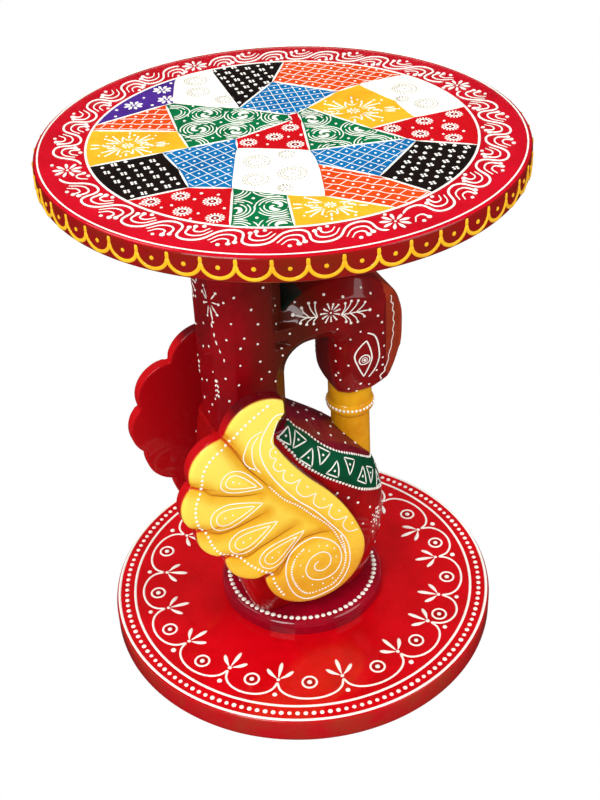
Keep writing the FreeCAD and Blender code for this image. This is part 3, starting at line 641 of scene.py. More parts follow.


# Corners of the patches, as read off; R ones lie on the ring.
corners = {
    "c": (572, 378), "d": (545, 380), "e": (510, 595), "f": (500, 725), "g": (418, 720), "h": (424, 850),
    "i": (410, 978), "k": (521, 1040), "j": (652, 732), "p": (630, 799), "l": (642, 1151), "m": (733, 1206),
    "n": (800, 1011), "o": (817, 915), "q": (861, 682), "r": (864, 641), "s": (898, 640), "s2": (885, 700),
    "t": (746, 519), "u": (925, 367), "v": (1081, 545), "w": (941, 620), "x": (1170, 526), "y": (1213, 700),
    "z": (1209, 847), "aa": (1050, 859), "bb": (1113, 977), "cc": (1130, 1003), "dd": (925, 1167),
    "R1": (282, 422), "R2": (264, 457), "R3": (187, 710), "R4": (237, 970), "R5": (440, 1238),
    "R6": (590, 1325), "R7": (880, 1361), "R8": (1008, 1322), "R9": (1268, 1107), "R10": (1390, 849),
    "R11": (1332, 528), "R12": (1025, 234), "R13": (778, 172), "R14": (650, 189)}
spots = {name: sheetSpot(u, v) for name, (u, v) in corners.items()}
for name, spot in spots.items():
    if name[0] == "R":
        spot *= topSizes["ring"] / spot.length

# Each patch goes round its corners, and along the ring where it says ">".
patches = [
    ("purple", "R1>R14 c d"), ("orange", "R2>R1 d e"), ("yellow", "R2>R3 g f e"), ("black", "R3>R4 i h g"),
    ("blue", "g f j p k i h"), ("red", "R4>R5 k i"), ("green", "R5>R6 l k"), ("yellow", "R6>R7 m l"),
    ("cream", "p o n m l k"), ("red", "j q r s s2 o p"), ("green", "d c t r q j f e"),
    ("cream", "R14>R13 t c"), ("black", "R13>R12 u t"), ("blue", "u v w s r t"),
    ("orange", "R12>R11 x v u"), ("yellow", "w v x y z aa"),
    ("cream", "R11>R10 z y x"), ("red", "R10>R9 cc bb aa z"), ("green", "s w aa bb o s2"),
    ("blue", "o bb cc dd n"), ("black", "R9>R8 dd cc"), ("orange", "R8>R7 m n dd")]


def patchOutline(route):
    ring = topSizes["ring"]
    outline = []
    for word in route.split():
        if ">" not in word:
            outline.append(spots[word].copy())
            continue
        a, b = [math.atan2(spots[name].y, spots[name].x) for name in word.split(">")]
        turn = (b - a + math.pi) % (2 * math.pi) - math.pi
        count = max(2, int(abs(turn) * ring / 4))
        outline += [polar(ring, math.degrees(a + turn * index / count)) for index in range(count + 1)]
    return outline


def layPatches(outlines):
    for colour in dict(outlines):
        points = []
        faces = []
        for outline in [outline for paint, outline in outlines if paint == colour]:
            first = len(points)
            count = len(outline)
            for level in (topLevel + topSizes["sheet"], topLevel - 0.1):
                points += [Vector((spot.x, spot.y, level)) for spot in outline]
            for face in tessellate_polygon([[Vector((spot.x, spot.y, 0)) for spot in outline]]):
                a, b, c = [outline[corner] for corner in face]
                if (b - a).cross(c - a) < 0:
                    face = (face[0], face[2], face[1])
                faces.append(tuple(first + corner for corner in face))
            for index in range(count):
                after = (index + 1) % count
                faces.append((first + index, first + after, first + count + after, first + count + index))
        layPiece("top_patches_" + colour, points, faces, paints[colour], smooth=False)


def drawSeams(white):
    drawn = set()
    for colour, route in patches:
        names = route.replace(">", " ").split()
        for name, after in zip(names, names[1:] + names[:1]):
            if name[0] == after[0] == "R" or (after, name) in drawn or (name, after) in drawn:
                continue
            drawn.add((name, after))
            a, b = spots[name], spots[after]
            white.line(straight(a, b, max(2, int((b - a).length / 6))), 1.5)
    white.ring((0, 0), topSizes["ring"], 220, 1.6)
    white.ring((0, 0), topSizes["outerLine"], 260, 1.1)


def dotClusters(white, outline, lean, number):
    for column, row, spot in gridSpots(outline, topSizes["clusterPitch"], lean + 8, 2):
        spot += Vector((hand.uniform(-0.5, 0.5), hand.uniform(-0.5, 0.5)))
        if (column + row) % 2:
            white.dot(spot, 1.25)
        else:
            four = ((-1.1, -0.9), (1, -1.2), (1.2, 0.9), (-0.9, 1.2))
            white.dots([spot + Vector(away) for away in four], 0.9)


def lattice(white, outline, lean, number):
    pitch = topSizes["latticePitch"]
    spin = Matrix.Rotation(math.radians(lean + 40), 2)
    middle = middleOf(outline)
    lines = []
    for index in range(-16, 17):
        line = [Vector((part * 1.1, index * pitch)) for part in range(-90, 91)]
        lines.append([middle + spin @ spot for spot in line])
        lines.append([middle + spin @ spot.yx for spot in line])
    clippedLines(white, outline, lines, 0.6, 0.9)
    white.dots([spot for column, row, spot in gridSpots(outline, pitch, lean + 40, 1.6, (0.5, 0.5))], 0.85)


def brickTiles(white, outline, lean, number):
    long, short = topSizes["tile"]
    spin = Matrix.Rotation(math.radians(lean), 2)
    middle = middleOf(outline)
    lines = []
    for index in range(-24, 25):
        lines.append([middle + spin @ Vector((part * 0.9, index * short + 0.4 * math.sin(part * 0.471)))
                      for part in range(-120, 121)])
        for column in range(-11, 12):
            start = long * (column + 0.5 * (index % 2))
            lines.append([middle + spin @ Vector((start + 0.4 * part, (index + part / 6) * short))
                          for part in range(7)])
    clippedLines(white, outline, lines, 0.65, 0.8)
    for column, row, spot in gridSpots(outline, long, lean, -4, (0.5, 0.5), aspect=short / long):
        put = spot + spin @ Vector((6 * (row % 2) + 1.2, 0))
        if edgeDistance(put, outline) > 1.6:
            white.dot(put, 0.95)


def whorls(white, outline, lean, number):
    pitch = topSizes["whorlPitch"]
    shift = 0.2 * (number % 3)
    for column, row, spot in gridSpots(outline, pitch, lean + 6, -8, (0.35 + shift, 0.4)):
        spinWay = 1 if (column + row) % 2 else -1
        whorl(white, outline, spot, topSizes["whorl"], 70 * column + 40 * row, spinWay)
    for column, row, spot in gridSpots(outline, pitch, lean + 6, 1.6, (0.85 + shift, 0.9)):
        white.dot(spot, 1)


def drawLooseOrnaments(white, dark, faint, outlines):
    # Flowers, sprays, rosettes and dotted ovals at their own places.
    for u, v in ((575, 255), (450, 335), (562, 340)):
        flower(white, sheetSpot(u, v), 6.4)
    for u, v in ((500, 290), (372, 392), (620, 215), (390, 345), (625, 292), (505, 362)):
        white.dot(sheetSpot(u, v), 1.05)
    for u, v, size in ((340, 622, 23), (1060, 712, 27), (725, 1262, 21)):
        centre = sheetSpot(u, v)
        outline = max((shape for colour, shape in outlines), key=lambda shape: edgeDistance(centre, shape))
        spray(white, outline, centre, size, -22)
    for u, v in ((676, 775), (762, 775), (832, 735), (797, 855), (1107, 890), (1220, 888), (1327, 885),
                 (1165, 965), (1270, 962), (1240, 1037), (285, 1013), (372, 1018), (440, 1090), (345, 1108),
                 (412, 1187)):
        rosette(white, dark, sheetSpot(u, v), 5.7)
    for u, v in ((720, 740), (722, 815), (800, 795), (840, 800), (850, 700), (1060, 880), (1165, 915),
                 (1275, 915), (1215, 945), (1225, 1000), (1175, 1020), (1290, 1010), (330, 1060), (400, 1055),
                 (300, 1060), (380, 1140), (455, 1145), (262, 978), (430, 1030), (470, 1060), (350, 1160),
                 (255, 1010)):
        white.dot(sheetSpot(u, v), 1)
    for u, v, size in ((647, 912, 8), (600, 1018, 7.6), (710, 1032, 8.4), (700, 235, 7.4), (675, 330, 7.4),
                       (1285, 630, 8), (1290, 770, 7.4), (745, 905, 5), (655, 1108, 4.5), (730, 430, 6),
                       (1240, 700, 4)):
        centre = sheetSpot(u, v)
        for share in (1, 0.62):
            faint.dots(ringSpots(centre, size * share, int(size * share * 3)), 0.55)
        faint.line(ringSpots(centre, size * 0.82, 24)[3:17], 0.5)
        faint.dot(centre, 0.6)


def drawVine(white):
    # One wave all round, and nested arcs that follow it in each hollow. Spots
    # are (along, out from the ring line).
    waves = vine["waves"]
    period = 2 * math.pi * vine["radius"] / waves
    flowers = [Vector(spot) for spot in ((-132.4, 13), (131.8, 16), (10, -132.5), (-9, 132.5))]
    for spot in flowers:
        flower(white, spot, 9, petals=9, width=2.1)

    def onBorder(along, out):
        return polar(topSizes["ring"] + out, 360 * along / (period * waves))

    def free(spot):
        return min((spot - place).length for place in flowers) > vine["flowerGap"]

    def waveAt(turns):
        phase = 2 * math.pi * turns
        shift = vine["loop"] * math.sin(2 * phase) - vine["lean"] * (1 - math.cos(phase))
        return Vector((period * (turns + shift), vine["middle"] - vine["swing"] * math.cos(phase)))

    run = []
    for part in range(waves * 30 + 1):
        spot = onBorder(*waveAt(part / 30))
        if free(spot):
            run.append(spot)
        elif len(run) > 1:
            white.line(run, vine["width"])
            run = []
    white.line(run, vine["width"])
    for half in range(1, waves * 2 + 1):
        outward = half % 2 == 0
        focus = Vector((period * (half / 2 - (2 * vine["lean"] if outward else 0)),
                        vine["outerFocus"] if outward else vine["innerFocus"]))
        for share, width, reach in ((0.69, 1.5, 0.33), (0.4, 1.4, 0.36)):
            arc = []
            for part in range(-6, 7):
                turns = half / 2 - part / 6 * reach * (1 if outward else -1)
                arc.append(onBorder(*(focus + (waveAt(turns) - focus) * share)))
            if all(free(spot) for spot in arc):
                white.curve(arc, width, step=1, ends=1, thin=0.45)
                white.dot(arc[0], 1.5)
        if free(onBorder(*focus)):
            white.dot(onBorder(*focus), 1.2)


def drawScallops():
    # Golden scallops hang round the side, each pair from a short stem.
    gold = Paste(rim(topRadius))
    scallops = topSizes["scallops"]
    half = 180 / scallops
    upper = topLevel - topSizes["belowEdge"]
    for index in range(scallops):
        middle = (index + 0.5) * 360 / scallops
        gold.line([(middle + half * part / 12,
                    upper - 3.4 - topSizes["scallopDrop"] * math.sqrt(max(0, 1 - (part / 12) ** 2)))
                   for part in range(-12, 13)], topSizes["scallopWidth"], ends=0.8)
        gold.line([(middle - half, upper - drop) for drop in (0, 1.5, 3, 4.6)], topSizes["scallopWidth"],
                  ends=0.7)
        gold.dot((middle, upper - 5.6), 1.35)
    gold.finish("top_golden_scallops", "gold", "top_paint")


def makeTop():
    turned("painted_top", discProfile(topRadius, topLevel, topUnder, topSizes["rimRound"], topSizes["inner"]),
           [paints["crimson"], paints["rimRed"]],
           ["top_board_left", "top_board_centre", "top_board_right"], 0.75)
    outlines = [(colour, patchOutline(route)) for colour, route in patches]
    layPatches(outlines)
    surface = flat(topLevel + topSizes["sheet"])
    white, dark, faint = Paste(surface), Paste(surface), Paste(surface)
    drawSeams(white)
    fillings = {"black": dotClusters, "blue": lattice, "orange": brickTiles, "green": whorls}
    for number, (colour, outline) in enumerate(outlines):
        if colour in fillings:
            longest = max(range(len(outline)), key=lambda i: (outline[i] - outline[i - 1]).length)
            way = outline[longest] - outline[longest - 1]
            fillings[colour](white, outline, math.degrees(math.atan2(way.y, way.x)), number)
    drawLooseOrnaments(white, dark, faint, outlines)
    drawVine(white)
    white.finish("top_white_outline", "white", "top_paint")
    dark.finish("top_dark_rings", "dark", "top_paint")
    faint.finish("top_faint_ovals", "grey", "top_paint")
    drawScallops()


# The round base: an enamelled disc with rings, scallops, sprigs and eyes

baseSizes = {"rimRound": 3.5, "inner": (50, 100), "outerRing": 143.2, "innerRing": 131, "dotRing": 137.4,
             "scallopRoot": 110, "scallopTip": 124.4, "knot": 107.5, "tipDot": 121.5, "eye": 5.2,
             "stray": 0.6}
sprigs = [(-98, 52), (-108, 13), (-105, -27), (-87, -65), (-60, -92), (-15, -103), (30, -99), (67, -87),
          (86, -64), (99, -25), (104, 8), (93, 50), (68, 79), (31, 99), (-12, 104), (-64, 82)]
eyes = [(-87, 74), (-109, 32), (-113, -9), (-102, -50), (-76, -81), (-39, -102), (11, -109), (48, -99),
        (77, -82), (101, -50), (112, -12), (108, 29), (84, 66), (50, 92), (10, 108), (-38, 100)]


def makeBase():
    turned("painted_base", discProfile(baseRadius, baseLevel, 0, baseSizes["rimRound"], baseSizes["inner"]),
           [paints["baseRed"], paints["baseEdge"]],
           ["base_board_left", "base_board_centre", "base_board_right"], 0.6)
    white = Paste(flat(baseLevel))
    dark = Paste(flat(baseLevel))
    white.ring((0, 0), baseSizes["outerRing"], 240, 2)
    white.ring((0, 0), baseSizes["innerRing"], 220, 2)
    white.dots(ringSpots((0, 0), baseSizes["dotRing"], 150), 1.7)
    stray = baseSizes["stray"]
    for x, y in eyes:
        spot = Vector((x + hand.uniform(-stray, stray), y + hand.uniform(-stray, stray)))
        eyeRing(white, spot, baseSizes["eye"], 1.6, 1.8)
        dark.ring(spot, 2.9, 18, 0.7)
    order = sorted(sprigs, key=lambda spot: math.atan2(spot[1], spot[0]))
    for first, last in zip(order, order[1:] + order[:1]):
        a = Vector(first).normalized() * baseSizes["scallopRoot"]
        b = Vector(last).normalized() * baseSizes["scallopRoot"]
        middle = (a + b) / 2
        deep = middle.normalized() * baseSizes["scallopTip"] - middle
        white.curve([middle + (b - a) * 0.5 * -math.cos(math.pi * part / 10)
                     + deep * math.sin(math.pi * part / 10) ** 0.85 for part in range(11)], 1.7, step=1.5)
    for x, y in order:
        way = math.degrees(math.atan2(y, x))
        knot = polar(baseSizes["knot"], way)
        white.dot(knot, 1.5)
        for lean, length in ((0, 14.5), (-52, 11.5), (52, 11.5)):
            heading = way + 180 + lean
            root = knot + polar(1.8, heading)
            white.curve([root, root + polar(length * 0.5, heading),
                         root + polar(length, heading - lean * 0.12)], 3, step=1, swell=True)
        white.dot(polar(baseSizes["tipDot"], way), 1.9)
    dark.finish("base_dark_rings", "dark", "base_paint")
    white.finish("base_white_outline", "white", "base_paint")


# The wings: carved planks with valleys, outlines, drops and beads

wingSizes = {"voxel": 0.8, "sanding": 4, "face": 8.5, "carved": 4.5, "rimDots": 58, "ropeDots": 40,
             "valley": {"depth": 2, "width": 3.4, "fading": 0.75}, "seam": {"depth": 1.1, "width": 1.7}}


def wingSpot(u, v):
    # A place on the wing's sheet, 7 px to the millimetre.
    return Vector((u / 7 - 114, 248 - v / 7))


def wingCourse(*course):
    return [wingSpot(u, v) for u, v in course]


# The valleys between the feathers, from the rim inward.
wingValleys = [
    wingCourse((300, 215), (350, 320), (405, 430), (465, 515), (510, 585)),
    wingCourse((95, 425), (170, 465), (215, 515), (350, 570), (460, 590)),
    wingCourse((115, 700), (235, 765), (310, 760), (390, 740), (475, 715)),
    wingCourse((245, 920), (360, 965), (440, 930), (540, 890), (620, 855)),
    wingCourse((450, 1140), (520, 1150), (555, 1095), (600, 1005), (670, 960), (755, 955), (825, 970))]
# The straight gouges they take over from, as shares of the wing.
cadGouges = (((0.22, 0.935), (0.49, 0.62)), ((0, 0.745), (0.419, 0.615)), ((0.011, 0.52), (0.46, 0.52)),
             ((0.144, 0.345), (0.592, 0.425)), ((0.358, 0.17), (0.786, 0.375)))
rope = wingCourse((505, 575), (575, 675), (650, 745), (720, 830), (780, 900), (825, 965), (860, 1045),
                  (890, 1140))
wingRim = wingCourse(
    (515, 95), (435, 145), (370, 190), (315, 245), (230, 300), (180, 375), (168, 460), (135, 535), (125, 615),
    (140, 690), (170, 740), (195, 825), (240, 895), (320, 950), (375, 1020), (430, 1080), (485, 1130),
    (500, 1200), (540, 1290))
feathers = (((470, 560), (322, 470), 8.8), ((462, 650), (268, 672), 10.6), ((532, 792), (348, 858), 10.4),
            ((668, 905), (492, 1016), 9.6))
spiral = wingCourse(
    (590, 160), (540, 170), (480, 260), (465, 350), (490, 450), (550, 570), (640, 700), (730, 800),
    (820, 930), (890, 1040), (915, 1150), (905, 1250), (850, 1340), (760, 1375), (660, 1370), (590, 1290),
    (560, 1150), (600, 1030), (700, 975), (790, 1010), (850, 1080), (868, 1150), (858, 1212), (815, 1262),
    (745, 1272), (688, 1236), (668, 1172), (698, 1106), (758, 1086), (802, 1122), (804, 1180), (765, 1212),
    (725, 1196), (718, 1160), (742, 1140))
beads = wingCourse((868, 1020), (888, 1100), (892, 1180), (872, 1260), (820, 1325), (740, 1345), (668, 1335),
                   (618, 1270), (590, 1170), (612, 1080), (660, 1030))
looseDots = wingCourse((640, 1130), (650, 1210), (700, 1290), (760, 1305), (815, 1290), (690, 1050),
                       (745, 1040), (790, 1055), (828, 1090), (838, 1150))
cusps = wingCourse((545, 330), (545, 410), (585, 490), (660, 575), (740, 690), (825, 790), (905, 900),
                   (965, 1010))


def alongCourse(spot, course):
    # How far a spot is from a course, and the share of the course beside it.
    best = 1e9
    share = 0
    for index, (first, last) in enumerate(zip(course, course[1:])):
        way = last - first
        t = clamp((spot - first).dot(way) / way.length_squared)
        away = (spot - first - way * t).length
        if away < best:
            best = away
            share = (index + t) / (len(course) - 1)
    return best, share


def hump(away, width):
    return math.exp(-(away / width) ** 2)


def makeWingShape(side, shift, lift):
    # Deepens the valleys between the feathers and leaves the colour attributes, which hold red edge paint, a
    # painted highlight, painted shade and painted shadow.
    move = Vector((shift, lift))
    valleys = [[spot + move for spot in course] for course in wingValleys]
    seam = [spot + move for spot in rope]
    foot = low("wing_right") + Vector((shift, 0, lift))
    reach = high("wing_right") - low("wing_right")
    gouges = [[Vector((foot.x + reach.x * s, foot.z + reach.z * t)) for s, t in run] for run in cadGouges]
    outer = side * max(abs(low("wing_right").y), abs(high("wing_right").y))
    valley = wingSizes["valley"]

    def carve(spot):
        # How deep the cut is here, how strong the painted shade in and beside the valleys, and how near the
        # closest.
        cut = 0
        valley_shade = 0
        closest = 30
        for course in valleys:
            away, held = alongCourse(spot, course)
            cut += valley["depth"] * (1 - valley["fading"] * held) * hump(away, valley["width"])
            valley_shade = max(valley_shade, (0.9 - 0.3 * held) * hump(away, 2.2), 0.4 * hump(away, 7))
            closest = min(closest, away)
        away = alongCourse(spot, seam)[0]
        cut += wingSizes["seam"]["depth"] * hump(away, wingSizes["seam"]["width"])
        return cut, max(valley_shade, 0.6 * hump(away, 1.8), 0.35 * hump(away, 6)), min(closest, away)

    def shape(mesh):
        names = ("painted_shade", "painted_highlight", "red", "deep")
        for name in names:
            mesh.attributes.new(name, "FLOAT", "POINT")
        painted_shade, painted_highlight, red, deep = [mesh.attributes[name].data for name in names]
        normals = [vertex.normal.copy() for vertex in mesh.vertices]
        for vertex, normal in zip(mesh.vertices, normals):
            # Red takes over from gold on the edges that look up or back, and on
            # the face toward the bird.
            index = vertex.index
            place = vertex.co / mm
            depth = side * (outer - place.y)
            edge = clamp((depth - 1.4) / 1.2)
            if depth < wingSizes["face"] and not (normal.z > 0.15 or normal.x < -0.5):
                edge = 0
            red[index].value = edge
            # Deep red on the top edges near the post is partly maroon paint and partly painted shade under
            # the top. On the face toward the bird it is painted shadow, darker toward the body.
            upper = edge * clamp((place.x + 70) / 9) if normal.z > 0.3 else 0
            inner = clamp((-side * normal.y - 0.3) / 0.4)
            deep[index].value = max(upper, inner * (0.2 + 0.35 * clamp((place.x + 105) / 40)))
            if depth > wingSizes["face"]:
                continue
            spot = Vector((place.x, place.z))
            cut, valley_shade, closest = carve(spot)
            # A painted highlight on the lobes away from the valleys, stronger toward the top.
            painted_highlight[index].value = clamp((closest - 2.5) / 7) * (0.1 + 0.9 * clamp((place.z - lift - 95) / 110))
            # Painted orange shade in the valleys and along the seam, and the lower wing darker orange.
            painted_shade[index].value = max(valley_shade, 0.5 * clamp((98 - place.z + lift) / 30))
            if depth < wingSizes["carved"]:
                for run in gouges:
                    away, held = alongCourse(spot, run)
                    if away < 4.2 * (1 - held) + 1.4:
                        depth *= 1 - clamp((held - 0.1) / 0.15)
                vertex.co.y = (outer - side * (depth + cut)) * mm
    return shape


def teardrop(paste, tip, bulb, size, width):
    way = (bulb - tip).normalized()
    side = Vector((-way.y, way.x))
    paste.curve([
        tip, tip.lerp(bulb, 0.3) + side * size * 0.42, tip.lerp(bulb, 0.7) + side * size * 0.86,
        bulb + side * size, bulb + (way + side) * size * 0.72, bulb + way * size,
        bulb + (way - side) * size * 0.72, bulb - side * size, tip.lerp(bulb, 0.7) - side * size * 0.86,
        tip.lerp(bulb, 0.3) - side * size * 0.42, tip], width)


def paintWing(wing, side, move, name):
    surface = moved(aside(treeOf(wing), side), move)
    white = Paste(surface)
    white.dots(evenly(curveThrough(wingRim), wingSizes["rimDots"]), 1.12)
    for tip, bulb, size in feathers:
        start, end = wingSpot(*tip), wingSpot(*bulb)
        teardrop(white, start, end, size, 0.85)
        teardrop(white, start.lerp(end, 0.22), end, size * 0.6, 0.8)
        white.dot(end, 0.8)
        white.dot(start.lerp(end, 0.8), 0.6)
    white.curve(wingCourse((484, 225), (420, 255), (384, 340), (395, 400), (440, 445)), 0.85)
    white.curve(wingCourse((462, 250), (432, 290), (424, 345), (432, 410), (462, 470)), 0.85)
    white.dots(wingCourse((430, 432), (452, 452), (410, 425)), 0.7)
    white.curve(spiral, 1, step=1)
    white.dots(curveThrough(beads, 2.1), 0.85)
    white.dots(looseDots, 0.7)
    white.dots(evenly(curveThrough(rope), wingSizes["ropeDots"]), 0.85)
    for first, last in zip(cusps, cusps[1:]):
        way = last - first
        bulge = Vector((way.y, -way.x)) * 0.42
        if bulge.x > 0:
            bulge = -bulge
        white.curve([first, first.lerp(last, 0.2) + bulge * 0.8, first.lerp(last, 0.5) + bulge,
                     first.lerp(last, 0.8) + bulge * 0.8, last], 0.85, step=0.9)
        white.dot(first.lerp(last, 0.5) + bulge * 0.1, 0.85)
    white.curve(wingCourse((560, 190), (540, 250), (522, 300), (535, 335)), 0.8)
    white.curve(wingCourse((600, 205), (588, 260), (575, 300), (548, 320)), 0.8)
    white.dots(wingCourse((575, 185), (600, 240), (590, 330)), 0.7)
    white.finish("wing_outline_" + name, "white", "wing_paint")
    # Thin ochre lines along the valley floors are painted shade in the creases.
    creaseShade = Paste(surface)
    for course in wingValleys:
        creaseShade.curve(course, 0.8, height=0.2, swell=True)
    creaseShade.finish("wing_crease_shade_" + name, "ochre", "wing_paint")


def makeWings():
    for name, side in (("right", -1), ("left", 1)):
        shift = low("wing_" + name).x - low("wing_right").x
        lift = low("wing_" + name).z - low("wing_right").z
        wing = softened("carved_wing_" + name, ["wing_" + name], wingSizes,
                        [paints["wingYellow"]], makeWingShape(side, shift, lift))
        paintWing(wing, side, Vector((shift, lift)), name)


# The body: a carved block with a green band of triangles between rows of dots

def bothSides(near, middle):
    near = [Vector(spot) for spot in near]
    return near + [Vector(middle)] + [Vector((spot.x, -spot.y, spot.z)) for spot in reversed(near)]


bodySizes = {"voxel": 1.2, "sanding": 8, "bandSteps": 220, "bandShares": 14, "bandLift": 0.3,
             "bandEdge": -0.15, "upperDots": 78, "lowerDots": 96, "apex": 7.2, "foot": 5.2, "half": 6,
             "petals": 8, "maroonShadeLevel": 168, "maroonShadeSlope": 0.86}
bandUpper = bothSides([
    (-13.7, -19.8, 192.5), (-10.2, -22.9, 188.3), (-5.8, -23.8, 183.9), (-1.9, -25, 180.3), (2.7, -28, 175.2),
    (7.3, -30.1, 170.6), (13.4, -31.3, 165.3), (20.3, -31, 160), (28.1, -29, 154.6), (36.5, -25.9, 148.1),
    (43.4, -22.6, 142), (49.6, -17, 134.6), (53.6, -8.5, 129.6)], (55, 0, 128))
bandLower = bothSides([
    (-25.8, -31.1, 189), (-21.3, -35, 180.7), (-17.9, -36.9, 176.3), (-14.3, -39.5, 169.2),
    (-6.2, -41.9, 160.8), (5.8, -42, 149.3), (17.1, -42, 140.4), (28.6, -42, 131.7), (36.6, -39.9, 126.2),
    (46.9, -33.5, 118.3), (54.6, -24, 110.6), (59.6, -12, 105)], (61.4, 0, 103.4))
bandMiddle = bothSides([
    (-19.5, -30.4, 188.3), (-11.6, -31.9, 181.6), (-6.6, -38.4, 170.2), (4.5, -37.2, 166.1),
    (11.8, -41.6, 154.2), (25.5, -36.7, 149.7), (35.5, -36.4, 137), (44.4, -31, 131), (51.5, -24.5, 119.5),
    (55.5, -12.5, 119.5)], (58, 0, 113.5))
bodyDots = (
    (0.4, -4.6, 184), (4.2, -11.2, 180.1), (8.5, -21.5, 173.9), (19.2, -19, 166.9), (29.6, -20.6, 157.8),
    (12, -6, 176), (24, -8, 166), (33, -10, 157), (40, -14, 149), (12.9, -42, 132.5), (21.5, -42, 125.1),
    (29.1, -42, 117.7), (38, -39, 109), (47, -35, 101), (-3, -42, 145), (-14, -41, 157), (54, -24, 96),
    (58, -12, 100), (33, -41, 96), (20, -42, 106), (40, -38, 84), (50, -28, 78), (57, -10, 82), (30, -40, 70),
    (46, -26, 62), (54, -8, 66))


def layBand(surface):
    length = bodySizes["bandSteps"]
    width = bodySizes["bandShares"]
    points = []
    faces = []
    for step, (top, foot) in enumerate(zip(evenly(bandUpper, length + 1), evenly(bandLower, length + 1))):
        for share in range(width + 1):
            place, normal = surface(top.lerp(foot, share / width))
            edge = share in (0, width) or step in (0, length)
            points.append(place + normal * bodySizes["bandEdge" if edge else "bandLift"])
    for step in range(length):
        for share in range(width):
            here = step * (width + 1) + share
            faces.append((here, here + width + 1, here + width + 2, here + 1))
    layPiece("body_green_band", points, faces, paints["bandGreen"])


def layTriangles(surface):
    raised = Paste(above(surface, bodySizes["bandLift"]))
    for index, centre in enumerate(bandMiddle):
        place, normal = surface(centre)
        along = bandMiddle[min(len(bandMiddle) - 1, index + 1)] - bandMiddle[max(0, index - 1)]
        along = (along - normal * along.dot(normal)).normalized()
        across = normal.cross(along)
        if across.z < 0:
            across = -across
        sign = 1 if index % 2 == 0 else -1
        apex = place + across * bodySizes["apex"] * sign
        left = place - across * bodySizes["foot"] * sign - along * bodySizes["half"]
        right = place - across * bodySizes["foot"] * sign + along * bodySizes["half"]
        for first, last in ((apex, left), (left, right), (right, apex)):
            raised.line(straight(first, last, 6), 1.15)
        raised.dot(place - across * 0.8 * sign, 0.95)
    return raised


def makeBody():
    body = softened("carved_body", ["body"], bodySizes, [paints["maroon"], paints["bodyRed"]])
    for face in body.data.polygons:
        # Maroon in front of and above the band's slope, partly maroon paint and partly painted shade under
        # the head; brighter red below and behind.
        place = face.center / mm
        if place.z < bodySizes["maroonShadeLevel"] - bodySizes["maroonShadeSlope"] * place.x:
            face.material_index = 1
    surface = nearest(treeOf(body))
    layBand(surface)
    white = Paste(surface)
    white.dots(evenly(bandUpper, bodySizes["upperDots"]), 1.1)
    white.dots(evenly(bandLower, bodySizes["lowerDots"]), 1.15)
    raised = layTriangles(surface)
    for x, y, z in bodyDots:
        white.dots([(x, y, z), (x, -y, z)], 1.1)
    white.dots([(62, 0, 92), (59, 0, 75), (55, 0, 144), (30, 0, 163)], 0.85)
    for row in range(7):
        for column in range(5):
            white.dot((-64, -30 + 15 * column + 7 * (row % 2) + hand.uniform(-2, 2), 50 + 19 * row), 0.9)
    for side in (-1, 1):
        centre, normal = surface((46.1, side * 37.7, 94.8))
        along = normal.cross(Vector((0, 0, 1))).normalized()
        up = along.cross(normal)
        for petal in range(bodySizes["petals"]):
            angle = math.pi * petal / 4
            way = along * math.cos(angle) + up * math.sin(angle)
            white.line([centre + way * share for share in (2, 3.2, 4.4, 5.4)], 1.5, swell=True)
            white.dot(centre + way * 7.4, 0.7)
        white.dot(centre, 0.9)
    white.finish("body_white_dots", "white", "body_paint")
    raised.finish("body_band_triangles", "white", "body_paint")


# The neck and head: one skin over the post and the head, painted on each side

neckSizes = {"voxel": 1, "sanding": 6, "noseFrom": 60, "notchFrom": -17, "notchTo": 2, "notchLevel": 272,
             "filler": ((-26, -27.4, 262), (-1, 27.4, 271)),
             "worn": [((x, y, z), reach, rounds) for x, across, z, reach, rounds in
                      ((27, 20, 216, 30, 20), (30, 26, 252, 16, 20), (-2, 27, 268, 15, 30))
                      for y in (-across, across)]}
jaw = {"axis": 40, "half": 12, "radius": 17, "level": 251, "fade": 9, "rear": 21}
faceLines = ([(43.5, 245.5), (39, 242), (35.5, 237), (35, 232), (38, 224), (43.5, 213)],
             [(43.5, 245.5), (46, 239), (47.5, 232), (47, 226.5), (45.5, 219.5), (43.5, 213)],
             [(44, 251.5), (49, 248.5), (51.5, 243.5), (53, 235.5), (53, 227.5), (51.5, 218.5), (47.5, 211)])
headSprays = (
    ((8.5, 274.5), (-7, 277), ((8, 283.5), (4, 283.5), (-1, 281), (5, 270), (0, 271), (-4, 272.5))),
    ((24, 271.5), (46, 269.5), ((28, 279.5), (32.5, 280), (37.5, 279), (42.5, 276.5), (28.5, 265),
                                (32, 263), (37, 262.5), (42, 265.5))))
headDots = (
    (-4, 284), (15, 287), (27, 284), (42, 285), (48, 280), (52, 263), (55, 257), (56, 248), (39, 254),
    (32, 249), (27, 240), (25, 241), (25, 228), (25, 216), (26, 219), (31, 227), (27, 213), (42, 206),
    (33, 204), (40, 199), (49, 203), (53, 216), (57, 220), (56, 228), (57, 237), (22, 261), (7, 265),
    (-12, 267), (-20, 289), (-29, 307), (-49, 305), (-55, 301), (-38, 293), (-34, 281), (-20, 275),
    (-52, 286), (-44, 273), (-35, 266), (-18, 257), (-18, 252), (-55, 273), (-47, 266), (-34, 252),
    (-28, 242), (-48, 253), (-34, 238), (-24, 233), (-57, 242), (-50, 238), (-40, 226), (-28, 219),
    (-20, 208), (-48, 214), (-37, 205), (-56, 224), (-55, 200), (-28, 198))
noseCourse = [(66, 270), (69.5, 259.5), (71, 250), (71, 240), (69, 230.5), (63.5, 221.5), (59, 213.5),
              (57, 204)]
postDashes = (((-62, 284), (-61.5, 280.5)), ((-61, 277), (-61, 273.5)), ((-60.5, 271), (-60, 267.5)),
              ((-59, 264.5), (-58.5, 261.5)), ((-57, 258), (-57, 255)))
